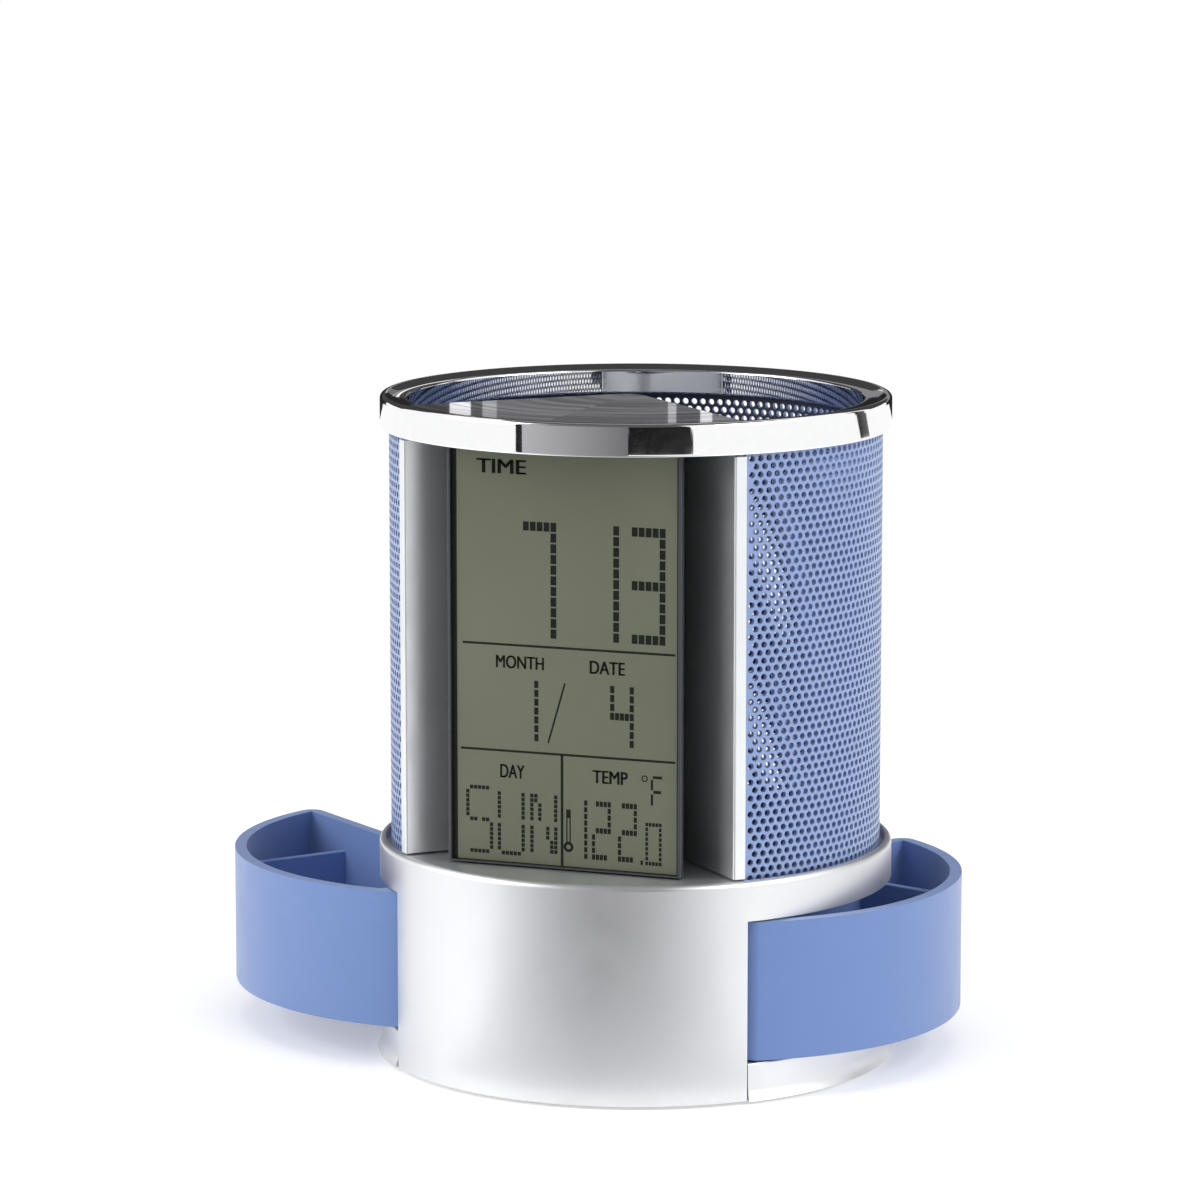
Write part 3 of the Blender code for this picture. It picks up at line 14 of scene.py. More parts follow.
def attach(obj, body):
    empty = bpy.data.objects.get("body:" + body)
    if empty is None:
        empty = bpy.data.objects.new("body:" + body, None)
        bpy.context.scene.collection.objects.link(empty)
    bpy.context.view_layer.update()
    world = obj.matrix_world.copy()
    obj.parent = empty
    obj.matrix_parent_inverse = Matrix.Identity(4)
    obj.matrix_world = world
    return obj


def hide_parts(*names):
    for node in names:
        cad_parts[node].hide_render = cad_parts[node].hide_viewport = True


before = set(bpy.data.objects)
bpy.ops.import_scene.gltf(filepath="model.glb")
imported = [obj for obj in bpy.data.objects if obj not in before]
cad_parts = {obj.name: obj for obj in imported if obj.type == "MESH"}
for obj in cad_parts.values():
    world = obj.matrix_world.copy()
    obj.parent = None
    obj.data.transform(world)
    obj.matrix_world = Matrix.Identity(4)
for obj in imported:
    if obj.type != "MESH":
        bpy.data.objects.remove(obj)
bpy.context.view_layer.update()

# Sizes of the part, as in its source
FIT_GAP = 0.0003
RUN_GAP = 0.0003
PIN_GAP = 0.0001
OVERRUN = 0.002
SINK = 0.0005
WELD = 0.000001
BASE_RADIUS = 0.043
BASE_HEIGHT = 0.0369
FOOT_PROUD = 0.0006
APRON_HALF_ANGLE = 45.5
SHELL_WALL = 0.0022
DECK_THICKNESS = 0.0024
BAND_HEIGHT = 0.0066
TOP_ROUNDING = 0.001
GROOVE_DEPTH = 0.0018
SKIRT_HEIGHT = 0.0067
SKIRT_STEP = 0.0003
SKIRT_FLARE = 0.0008
SKIRT_WALL = 0.002
TRAY_FLOOR = 0.0024
HUB_HALF_WIDTH = 0.0096
HUB_WALL = 0.0012
HUB_FRONT = -0.009
DRAWER_WALL = 0.002
DRAWER_FLOOR = 0.0016
DRAWER_FACE = 0.0104
DRAWER_BEND = -0.0105
DRAWER_EDGE = 0.0006
DRAWER_CORNER = 0.0023
DIVIDER_PLACE = 0.0269
DIVIDER_THICKNESS = 0.0012
DIVIDER_DROP = 0.005
BARREL_RADIUS = 0.0024
BARREL_GAP = 0.0004
RIGHT_OPENING = 18.3
LEFT_OPENING = 53.0
PIN_RADIUS = 0.001
COLUMN_WALL = 0.0022
COLUMN_NOSE = 0.0035
COLUMN_HALF_ANGLE = 45.5
RIM_TOP = 0.1114
RIM_LOW = 0.106
RIM_BAND = 0.0011
RIM_LIP = 0.0016
RIM_CHANNEL_ROOF = 0.0016
RIM_EDGE = 0.0007
RIM_DISH = 0.0006
RIM_DECK = 0.0014
RIM_DECK_DROP = 0.0001
RIM_SKIRT = 0.0016
WING_RADIUS = 0.0423
RIM_RADIUS = 0.0425
RIM_OPENING = 0.0378
MESH_RADIUS = 0.041
MESH_INNER = 0.0402
GROOVE_OUTER = 0.0419
GROOVE_INNER = 0.0399
CASE_FRONT = -0.0332
CASE_HALF_WIDTH = 0.02025
CASE_BACK = -0.017
CASE_BACK_HALF_WIDTH = 0.013
CASE_WALL = 0.0007
CASE_LIP = 0.0005
GLASS_FRONT = -0.0325
RUNNER_WIDTH = 0.0014
RUNNER_RADII = (0.02, 0.044)
PIN_SOCKET = 0.002
SCREW_HOLE_RADIUS = 0.0013
SCREW_HEAD_RADIUS = 0.0023
COUNTERBORE = 0.0013
SCREW_SPOTS = ((0.033, 38.0), (0.033, -38.0), (0.005, 180.0), (0.034, 180.0))
FOOT_RADIUS = 0.004
FOOT_SINK = 0.0008
FOOT_CIRCLE = 0.0365
FOOT_ANGLES = (60.0, 140.0, 220.0, 300.0)
BUTTON_COLUMN = 0.0046
BUTTON_ROWS = (0.012, 0.02)
BUTTON_HOLE = 0.0024
DOOR_HALF_WIDTH = 0.014
DOOR_FRONT = -0.0284
DOOR_REAR = -0.0086
DOOR_CORNER = 0.002
DOOR_RECESS = 0.0015
CELL_HALF_PITCH = 0.0055
CELL_PLACE = -0.0205
CELL_BORE = 0.0055

# Heights that follow
FLOOR_LOW = FOOT_PROUD
FLOOR_TOP = FLOOR_LOW + TRAY_FLOOR
BAND_LOW = BASE_HEIGHT - BAND_HEIGHT
DECK_LOW = BASE_HEIGHT - DECK_THICKNESS
DRAWER_LOW = SKIRT_HEIGHT + RUN_GAP
DRAWER_TOP = BAND_LOW - RUN_GAP
COLUMN_LOW = BASE_HEIGHT + FIT_GAP
COLUMN_TOP = RIM_LOW - FIT_GAP
PIVOT_RADIUS = BASE_RADIUS - BARREL_RADIUS
PIVOT_ANGLE = APRON_HALF_ANGLE + degrees(asin((BARREL_RADIUS + BARREL_GAP) / PIVOT_RADIUS))

# How finely the shown surfaces are divided
FINE_TURN = 240
FINE_STEP = 1.5
ROUND_STEPS = 6
CIRCLE_SIDES = 32
SOFT_STEPS = 4
EDGE_SEGMENTS = 4
NOSE_STEPS = 16
CORNER_STEPS = 16
HINGE_STEPS = 24
SHARP_ANGLE = 35.0
LEAST_CORNER = 20.0
SIDE_SHARE = 0.45
LEVEL = 0.99

# Perforation
HOLE_PITCH = 0.00157
HOLE_ROW = 0.00129
HOLE_RADIUS = 0.00054
HOLE_SIDES = 12
SHEET_SIDE_MARGIN = 0.0003
SHEET_FOOT_MARGIN = 0.0006
SHEET_HEAD_MARGIN = 0.0035


def spot(radius, angle):
    """The point at this radius and direction round the upright axis."""
    return radius * sin(radians(angle)), -radius * cos(radians(angle))


def arc(radius, start, end):
    count = max(1, ceil(abs(end - start) / FINE_STEP - WELD))
    return [spot(radius, start + (end - start) * i / count) for i in range(count + 1)]


def bow(centre, radius, start, end, steps=ROUND_STEPS):
    """Points round this centre, from one angle to another, in degrees from the outline's first axis."""
    turns = [radians(start + (end - start) * i / steps) for i in range(steps + 1)]
    return [(centre[0] + radius * cos(turn), centre[1] + radius * sin(turn)) for turn in turns]


def circle(centre, radius):
    half_side = 180 / CIRCLE_SIDES
    return bow(centre, radius, half_side, 360 + half_side, CIRCLE_SIDES)[:-1]


def rectangle(left, front, right, back):
    return [(left, front), (right, front), (right, back), (left, back)]


def sector(inner, outer, start, end):
    return arc(outer, start, end) + arc(inner, end, start)


def soften(outline, radius):
    """The outline with each of its clear corners replaced by a small arc."""
    points = [Vector(point) for point in outline]
    made = []
    for before, here, after in zip(points[-1:] + points[:-1], points, points[1:] + points[:1]):
        inward = (before - here).normalized()
        onward = (after - here).normalized()
        turn = pi - inward.angle(onward)
        if degrees(turn) < LEAST_CORNER:
            made.append(tuple(here))
            continue
        limit = SIDE_SHARE * min((before - here).length, (after - here).length)
        reach = min(radius * tan(turn / 2), limit)
        start = here + inward * reach
        end = here + onward * reach
        for i in range(SOFT_STEPS + 1):
            share = i / SOFT_STEPS
            middle = here * 2 * share * (1 - share)
            made.append(tuple(start * (1 - share) ** 2 + middle + end * share**2))
    return made


def linked(name, data):
    """A new object of this data, in the scene."""
    made = bpy.data.objects.new(name, data)
    bpy.context.scene.collection.objects.link(made)
    return made


def mesh_of(name, bm):
    mesh = bpy.data.meshes.new(name)
    bm.to_mesh(mesh)
    bm.free()
    return mesh


def smooth(mesh):
    mesh.shade_smooth()
    mesh.set_sharp_from_angle(angle=radians(SHARP_ANGLE))


def add_object(name, bm, finish=None):
    bmesh.ops.recalc_face_normals(bm, faces=bm.faces)
    mesh = mesh_of(name, bm)
    if finish:
        mesh.materials.append(finish)
    smooth(mesh)
    return linked(name, mesh)


def move_points(bm, items, along):
    points = [item for item in items if isinstance(item, bmesh.types.BMVert)]
    bmesh.ops.translate(bm, verts=points, vec=along)


def extruded(name, points, along, finish):
    """The solid that this flat outline sweeps when it is moved along."""
    bm = bmesh.new()
    face = bm.faces.new([bm.verts.new(point) for point in points])
    raised = bmesh.ops.extrude_face_region(bm, geom=[face])
    move_points(bm, raised["geom"], along)
    return add_object(name, bm, finish)


def prism(name, outline, low, high, finish=None):
    """An upright solid with this outline, from one height to another."""
    return extruded(name, [(x, y, low) for x, y in outline], (0, 0, high - low), finish)


def upright_plate(name, outline, front, back, finish=None):
    """A solid with this outline in X and Z, from one depth to another along Y."""
    return extruded(name, [(x, front, z) for x, z in outline], (0, back - front, 0), finish)


def turned(name, profile, finish=None, steps=FINE_TURN, centre=(0.0, 0.0)):
    """A profile of (radius, height) turned round an upright axis."""
    bm = bmesh.new()
    first = [bm.verts.new((*spot(radius, 0.0), height)) for radius, height in profile]
    edges = [bm.edges.new((a, b)) for a, b in zip(first, first[1:] + first[:1])]
    about = {"cent": (0, 0, 0), "axis": (0, 0, 1), "angle": 2 * pi}
    bmesh.ops.spin(bm, geom=first + edges, steps=steps, use_merge=True, use_duplicate=False, **about)
    bmesh.ops.remove_doubles(bm, verts=bm.verts, dist=WELD)
    bmesh.ops.translate(bm, verts=bm.verts, vec=(centre[0], centre[1], 0))
    return add_object(name, bm, finish)


def combine(target, other, operation):
    """Joins or cuts the target with the other, which is used up."""
    step = target.modifiers.new("combine", "BOOLEAN")
    step.operation = operation
    step.solver = "EXACT"
    step.object = other
    graph = bpy.context.evaluated_depsgraph_get()
    shaped = bpy.data.meshes.new_from_object(target.evaluated_get(graph))
    target.modifiers.clear()
    target.data = shaped
    bpy.data.objects.remove(other, do_unlink=True)
    smooth(target.data)


def join(target, other):
    combine(target, other, "UNION")


def cut(target, other):
    combine(target, other, "DIFFERENCE")


def round_edges(target, chosen, width):
    """Rounds the edges for which chosen(first end, second end) is true."""
    bm = bmesh.new()
    bm.from_mesh(target.data)
    edges = [edge for edge in bm.edges if chosen(edge.verts[0].co, edge.verts[1].co)]
    shape = {"offset": width, "segments": EDGE_SEGMENTS, "profile": 0.5}
    bmesh.ops.bevel(bm, geom=edges, affect="EDGES", clamp_overlap=True, **shape)
    bm.to_mesh(target.data)
    bm.free()
    smooth(target.data)


def at_height(height):
    return lambda a, b: abs(a.z - height) < WELD and abs(b.z - height) < WELD


def even_shading(piece):
    """Normals that follow the large faces, so that these stay flat right up to a rounded edge."""
    step = piece.modifiers.new("even_shading", "WEIGHTED_NORMAL")
    step.keep_sharp = True
    graph = bpy.context.evaluated_depsgraph_get()
    seen = piece.evaluated_get(graph)
    shaped = bpy.data.meshes.new_from_object(seen, preserve_all_data_layers=True, depsgraph=graph)
    piece.modifiers.clear()
    piece.data = shaped


def place(piece, body, *nodes):
    """The piece rides on this body and stands for these nodes of the part."""
    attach(piece, body)
    if nodes:
        even_shading(piece)
        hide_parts(*nodes)


# Finishes

def feed(tree, socket, value):
    """Links a source to the socket, or sets a colour or a number on it."""
    if isinstance(value, bpy.types.NodeSocket):
        tree.links.new(value, socket)
    elif socket.type == "RGBA":
        socket.default_value = (*value, 1.0)
    else:
        socket.default_value = value


def add_node(tree, kind, links=None, **settings):
    """A shader node with these settings, and a source or a value for each of its named sockets."""
    node = tree.nodes.new(kind)
    for key, value in settings.items():
        setattr(node, key, value)
    for socket, value in (links or {}).items():
        feed(tree, node.inputs[socket], value)
    return node


INPUTS = {
    "colour": "Base Color",
    "roughness": "Roughness",
    "metallic": "Metallic",
    "coat": "Coat Weight",
    "coat_roughness": "Coat Roughness",
    "sheen": "Sheen Weight",
    "specular": "Specular IOR Level",
    "normal": "Normal",
}


class Finish:
    """A node material built step by step; every texture reads the object's own coordinates."""

    def __init__(self, name):
        self.material = bpy.data.materials.new(name)
        self.material.use_nodes = True
        self.tree = self.material.node_tree
        self.shader = self.tree.nodes["Principled BSDF"]
        self.place = self.add("ShaderNodeTexCoord").outputs["Object"]

    def add(self, kind, links=None, **settings):
        return add_node(self.tree, kind, links, **settings)

    def set(self, **values):
        for key, value in values.items():
            feed(self.tree, self.shader.inputs[INPUTS[key]], value)
        return self.material

    def noise(self, scale, detail=3.0, roughness=0.5, where=None):
        """Noise with this many features per metre, 0 to 1 round a half."""
        links = {"Vector": where or self.place, "Scale": scale, "Detail": detail, "Roughness": roughness}
        return self.add("ShaderNodeTexNoise", links).outputs["Fac"]

    def range(self, source, low, high, start=0.3, end=0.7):
        """The source stretched from start..end to low..high."""
        links = {"Value": source, "From Min": start, "From Max": end, "To Min": low, "To Max": high}
        return self.add("ShaderNodeMapRange", links).outputs["Result"]

    def blend(self, share, first, second):
        """One colour where the share is 0 and the other where it is 1."""
        node = self.add("ShaderNodeMix", {"Factor": share}, data_type="RGBA")
        sockets = [item for item in node.inputs if item.type == "RGBA"]
        for socket, value in zip(sockets, (first, second)):
            feed(self.tree, socket, value)
        return [item for item in node.outputs if item.type == "RGBA"][0]

    def tones(self, source, first, second):
        return self.blend(self.range(source, 0.0, 1.0), first, second)

    def bump(self, height, strength, distance):
        links = {"Height": height, "Strength": strength, "Distance": distance}
        return self.add("ShaderNodeBump", links).outputs["Normal"]


def tint(colour, factor):
    return tuple(min(1.0, part * factor) for part in colour)


def moulded(name, colour, roughness, grain, depth, spread, **more):
    """Moulded or painted surface: faint blotches in colour, uneven gloss, fine grain.

    grain is the number of grains per metre, depth their height in metres, and spread how far the colour
    varies. What more holds goes to the shader as it is.
    """
    made = Finish(name)
    grains = made.noise(grain, 2.0)
    body = made.tones(made.noise(60.0, 4.0), tint(colour, 1 - spread), tint(colour, 1 + spread))
    speck = made.tones(grains, tint(colour, 1 - spread / 2), body)
    gloss = made.range(made.noise(140.0), roughness * 0.88, roughness * 1.12)
    return made.set(colour=speck, roughness=gloss, normal=made.bump(grains, 0.5, depth), **more)


SILVER = (0.74, 0.745, 0.76)
WING = (0.83, 0.855, 0.87)
BLUE = (0.152, 0.255, 0.555)
STEEL_BLUE = (0.262, 0.358, 0.63)
# Dark navy for the sheet's inner faces: painted shade for the shadowed inside of the cup
PAINTED_SHADE_NAVY = (0.01, 0.017, 0.055)
DARK = (0.022, 0.023, 0.026)
CASE_GREY = (0.06, 0.062, 0.068)
RUBBER = (0.018, 0.018, 0.018)
FOAM = (0.02, 0.03, 0.075)
LACQUER = (0.015, 0.12, 0.045)
JACKET = (0.06, 0.062, 0.07)

silver = moulded("satin_silver", SILVER, 0.36, 3200.0, 0.000006, 0.03, metallic=0.86)
wing_silver = moulded("fine_grained_silver", WING, 0.33, 3000.0, 0.000002, 0.04, metallic=0.8)
blue = moulded("blue_plastic", BLUE, 0.42, 2800.0, 0.000006, 0.04, sheen=0.35)
blue_steel = moulded("blue_painted_steel", STEEL_BLUE, 0.3, 2600.0, 0.000006, 0.05, metallic=0.15, sheen=0.3)
# Inner faces of the sheet: painted shade, darker than the same blue paint outside
painted_shade_steel = moulded("navy_painted_shade_inside_of_sheet", PAINTED_SHADE_NAVY, 0.5, 2600.0, 0.000006, 0.1)
dark_plastic = moulded("dark_plastic", DARK, 0.42, 2400.0, 0.00001, 0.1)
case_grey = moulded("case_plastic", CASE_GREY, 0.34, 2600.0, 0.000008, 0.08, metallic=0.1)
rubber = moulded("rubber_grain", RUBBER, 0.8, 1800.0, 0.00003, 0.15)
foam = moulded("foam_mat", FOAM, 0.95, 1500.0, 0.0001, 0.25)
board_green = moulded("circuit_board_lacquer", LACQUER, 0.35, 900.0, 0.000008, 0.12, coat=0.4)
jacket = moulded("cell_jacket_print", JACKET, 0.3, 1500.0, 0.000005, 0.1, metallic=0.4)


def plated_finish():
    """Bright plating: almost a mirror, with very faint waves and hairline wear."""
    made = Finish("bright_plating")
    wear = made.noise(420.0, 6.0, 0.7)
    tone = made.tones(wear, (0.93, 0.935, 0.945), (0.965, 0.965, 0.97))
    waves = made.bump(made.noise(90.0, 2.0), 0.15, 0.00002)
    return made.set(colour=tone, metallic=1.0, roughness=made.range(wear, 0.02, 0.045), normal=waves)


def painted_reflection_deck_finish():
    """Glossy plate over the wedge: long light and dark streaks round the axis in its colour are painted
    reflections, and fine scratches that run the same way roughen and bump it.
    """
    made = Finish("deck_painted_reflection_streaks")
    parts = made.add("ShaderNodeSeparateXYZ", {"Vector": made.place}).outputs
    turn = made.add("ShaderNodeMath", {0: parts["X"], 1: parts["Y"]}, operation="ARCTAN2").outputs[0]
    flat = made.add("ShaderNodeCombineXYZ", {"X": parts["X"], "Y": parts["Y"]}).outputs[0]
    reach = made.add("ShaderNodeVectorMath", {0: flat}, operation="LENGTH").outputs["Value"]
    rolled = made.add("ShaderNodeCombineXYZ", {"X": turn, "Y": reach}).outputs[0]

    def marks(round_share, across):
        """Noise with so many features round the axis and across the marks."""
        mapping = made.add("ShaderNodeMapping", {"Vector": rolled, "Scale": (round_share, across, 1.0)})
        return made.noise(1.0, 3.0, 0.6, mapping.outputs["Vector"])

    # Light and dark bands in the metal's colour: painted reflection streaks
    painted_reflection_streaks = made.range(marks(0.5, 420.0), 0.0, 1.0, 0.38, 0.62)
    scratches = marks(4.0, 2400.0)
    tone = made.blend(painted_reflection_streaks, (0.14, 0.145, 0.16), (0.86, 0.865, 0.89))
    gloss = made.range(scratches, 0.015, 0.045)
    return made.set(colour=tone, metallic=0.9, roughness=gloss, normal=made.bump(scratches, 0.1, 0.000001))


def mottled(name, grain, first, second, gloss, strength, depth, **more):
    """Colour, gloss and grain that follow the same noise."""
    made = Finish(name)
    marks = made.noise(*grain)
    made.set(colour=made.tones(marks, first, second), roughness=made.range(marks, *gloss))
    return made.set(normal=made.bump(marks, strength, depth), **more)


def display_finish():
    """Grey-green liquid crystal under a thin clear cover: a slow drift of tone, a matt polariser film."""
    made = Finish("liquid_crystal")
    drift = made.noise(26.0, 2.0, 0.4)
    film = made.noise(5200.0, 1.0)
    tone = made.tones(drift, (0.131, 0.143, 0.092), (0.161, 0.173, 0.117))
    tone = made.blend(made.range(film, 0.0, 0.25), tone, (0.12, 0.132, 0.09))
    made.set(colour=tone, roughness=made.range(film, 0.3, 0.38), coat=0.25, coat_roughness=0.12)
    return made.set(normal=made.bump(film, 0.15, 0.000004))


plating = plated_finish()
deck_with_painted_reflections = painted_reflection_deck_finish()
crystal_face = display_finish()
DULL_ZINC, BRIGHT_ZINC = (0.42, 0.42, 0.43), (0.58, 0.58, 0.57)
zinc = mottled("zinc_steel", (1400.0, 4.0), DULL_ZINC, BRIGHT_ZINC, (0.22, 0.42), 0.3, 0.00001, metallic=1.0)
BLACK, SOOT = (0.006, 0.008, 0.006), (0.018, 0.02, 0.015)
ink_black = mottled("crystal_segment", (2400.0, 2.0), BLACK, SOOT, (0.3, 0.4), 0.1, 0.000004, specular=0.15)


# Base

def rear_half_angle(radius):
    """Half the turn that the hub takes up at this radius."""
    return degrees(asin(HUB_HALF_WIDTH / radius))


def pivot_places():
    return [spot(PIVOT_RADIUS, side * PIVOT_ANGLE) for side in (-1, 1)]


def shell():
    """Deck, band, front apron, rear strip and hub walls of the base."""
    inner = BASE_RADIUS - SHELL_WALL
    corner = bow((BASE_RADIUS - TOP_ROUNDING, BASE_HEIGHT - TOP_ROUNDING), TOP_ROUNDING, 0, 90)
    inside = [(0.0, BASE_HEIGHT), (0.0, DECK_LOW), (inner, DECK_LOW), (inner, FLOOR_LOW)]
    body = turned("fine_base_shell", [(BASE_RADIUS, FLOOR_LOW)] + corner + inside, silver)
    reach = BASE_RADIUS + OVERRUN
    rear = rear_half_angle(BASE_RADIUS)
    for side in (-1, 1):
        window = sector(GROOVE_INNER - SHELL_WALL, reach, side * APRON_HALF_ANGLE, side * (180 - rear))
        cut(body, prism("window", window, -OVERRUN, BAND_LOW))
    below = sector(GROOVE_INNER - SHELL_WALL, reach, 180 - 2 * rear, 180 + 2 * rear)
    cut(body, prism("below_strip", below, -OVERRUN, SKIRT_HEIGHT + FIT_GAP))
    groove = sector(GROOVE_INNER, GROOVE_OUTER, APRON_HALF_ANGLE, 360 - APRON_HALF_ANGLE)
    cut(body, prism("groove", groove, BASE_HEIGHT - GROOVE_DEPTH, BASE_HEIGHT + OVERRUN))
    hub_back = sqrt(inner**2 - HUB_HALF_WIDTH**2) + SINK
    for side in (-1, 1):
        left, right = sorted((side * HUB_HALF_WIDTH, side * (HUB_HALF_WIDTH - HUB_WALL)))
        wall = rectangle(left, HUB_FRONT, right, hub_back)
        join(body, prism("hub_wall", wall, FLOOR_TOP + FIT_GAP, DECK_LOW + SINK))
    skirt_inner = BASE_RADIUS - SKIRT_WALL - SKIRT_STEP
    behind = sector(skirt_inner - FIT_GAP, reach, 180 - 2 * rear, 180 + 2 * rear)
    cut(body, prism("below_hub", behind, -OVERRUN, SKIRT_HEIGHT + FIT_GAP))
    for pivot in pivot_places():
        join(body, prism("pivot_boss", circle(pivot, BARREL_RADIUS), BAND_LOW, DECK_LOW + SINK))
    place(body, "base", "base_upper_shell")


shell()


# Tray under the drawers
SKIRT_EDGE = 0.0003


def cell_opening():
    """Two half circles side by side along X, joined by straight runs."""
    right = bow((CELL_HALF_PITCH, CELL_PLACE), CELL_BORE, -90, 90, CIRCLE_SIDES // 2)
    left = bow((-CELL_HALF_PITCH, CELL_PLACE), CELL_BORE, 90, 270, CIRCLE_SIDES // 2)
    return right + left


def runner(side, pivot, radius):
    """A low rib on the floor, curved round the drawer's hinge."""
    profile = rectangle(radius, FLOOR_TOP - SINK, radius + RUNNER_WIDTH, SKIRT_HEIGHT)
    rib = turned("runner", profile, steps=FINE_TURN // 2, centre=pivot)
    limit = BASE_RADIUS - SKIRT_STEP - SKIRT_WALL / 2
    rear = rear_half_angle(limit)
    front = (APRON_HALF_ANGLE + PIVOT_ANGLE) / 2 + rear
    start, end = sorted((side * front, side * (180 - 2 * rear)))
    room = [(side * (DRAWER_FACE + RUN_GAP), 0.0)] + arc(limit, start, end)
    limits = prism("runner_room", room, FLOOR_TOP - 2 * SINK, SKIRT_HEIGHT + OVERRUN)
    combine(rib, limits, "INTERSECT")
    return rib


def tray():
    """Floor and flared skirt: runners, hinge posts, screw holes, foot pockets and the battery opening."""
    outer = BASE_RADIUS - SKIRT_STEP
    inner = outer - SKIRT_WALL
    flare = []
    for i in range(ROUND_STEPS + 1):
        share = i / ROUND_STEPS
        height = FLOOR_LOW + (SKIRT_HEIGHT / 2 - FLOOR_LOW) * share
        flare.append((outer + SKIRT_FLARE * (1 - share) ** 2, height))
    lip = bow((outer - SKIRT_EDGE, SKIRT_HEIGHT - SKIRT_EDGE), SKIRT_EDGE, 0, 90)
    profile = [(0.0, FLOOR_LOW)] + flare + lip + [(inner, SKIRT_HEIGHT), (inner, FLOOR_TOP), (0.0, FLOOR_TOP)]
    body = turned("fine_base_tray", profile, silver)
    edge = APRON_HALF_ANGLE + degrees(FIT_GAP / BASE_RADIUS)
    room = sector(BASE_RADIUS - SHELL_WALL - FIT_GAP, BASE_RADIUS + OVERRUN, -edge, edge)
    cut(body, prism("apron_room", room, -OVERRUN, SKIRT_HEIGHT + OVERRUN))
    for side, pivot in zip((-1, 1), pivot_places()):
        for radius in RUNNER_RADII:
            join(body, runner(side, pivot, radius))
        join(body, prism("post", circle(pivot, BARREL_RADIUS - FIT_GAP), FLOOR_LOW + SINK, SKIRT_HEIGHT))
        socket_low = SKIRT_HEIGHT - PIN_SOCKET - FIT_GAP
        cut(body, prism("socket", circle(pivot, PIN_RADIUS + PIN_GAP), socket_low, SKIRT_HEIGHT + OVERRUN))
    through = FLOOR_TOP + OVERRUN
    holes = []
    for radius, angle in SCREW_SPOTS:
        holes.append((spot(radius, angle), SCREW_HOLE_RADIUS, through))
        holes.append((spot(radius, angle), SCREW_HEAD_RADIUS + FIT_GAP, FLOOR_LOW + COUNTERBORE))
    for angle in FOOT_ANGLES:
        holes.append((spot(FOOT_CIRCLE, angle), FOOT_RADIUS + FIT_GAP, FLOOR_LOW + FOOT_SINK))
    holes += [((x, y), BUTTON_HOLE, through) for x in (-BUTTON_COLUMN, BUTTON_COLUMN) for y in BUTTON_ROWS]
    for centre, radius, top in holes:
        cut(body, prism("hole", circle(centre, radius), -OVERRUN, top))
    side = DOOR_HALF_WIDTH + FIT_GAP
    recess = rectangle(-side, DOOR_FRONT - FIT_GAP, side, DOOR_REAR + FIT_GAP)
    recess = soften(recess, DOOR_CORNER + FIT_GAP)
    cut(body, prism("door_recess", recess, -OVERRUN, FLOOR_LOW + DOOR_RECESS))
    cut(body, prism("cell_opening", cell_opening(), 0.0, through))
    place(body, "base", "base_lower_tray")


tray()


# Drawers

def drawer_outline(inset):
    """Outline of the right-hand drawer when shut, drawn in by a wall thickness for the pocket inside it."""
    pivot = Vector(spot(PIVOT_RADIUS, PIVOT_ANGLE))
    bend = Vector((DRAWER_FACE, DRAWER_BEND))
    to_bend = bend - pivot
    lean = acos(BARREL_RADIUS / to_bend.length)
    heading = atan2(to_bend.y, to_bend.x) + lean
    outward = Vector((cos(heading), sin(heading)))
    outer = BASE_RADIUS - inset
    face = DRAWER_FACE + inset
    corner_x = DRAWER_FACE + DRAWER_CORNER
    corner_y = sqrt((BASE_RADIUS - DRAWER_CORNER) ** 2 - corner_x**2)
    round_start = degrees(atan2(corner_y, corner_x))
    corner = bow((corner_x, corner_y), DRAWER_CORNER - inset, round_start, 180, CORNER_STEPS)[1:]
    back = 90 + round_start

    def on_front_wall(x):
        distance = BARREL_RADIUS - inset
        return x, pivot.y + (distance - (x - pivot.x) * outward.x) / outward.y

    if inset == 0:
        nose = bow(pivot, BARREL_RADIUS, degrees(heading), PIVOT_ANGLE + 270, HINGE_STEPS)[:-1]
        return nose + arc(outer, PIVOT_ANGLE, back) + corner + [on_front_wall(face)]
    start = PIVOT_ANGLE + degrees((BARREL_RADIUS + inset) / outer)
    near_x = pivot.x - (BARREL_RADIUS + inset) * abs(outward.y)
    return arc(outer, start, back) + corner + [on_front_wall(face), on_front_wall(near_x)]


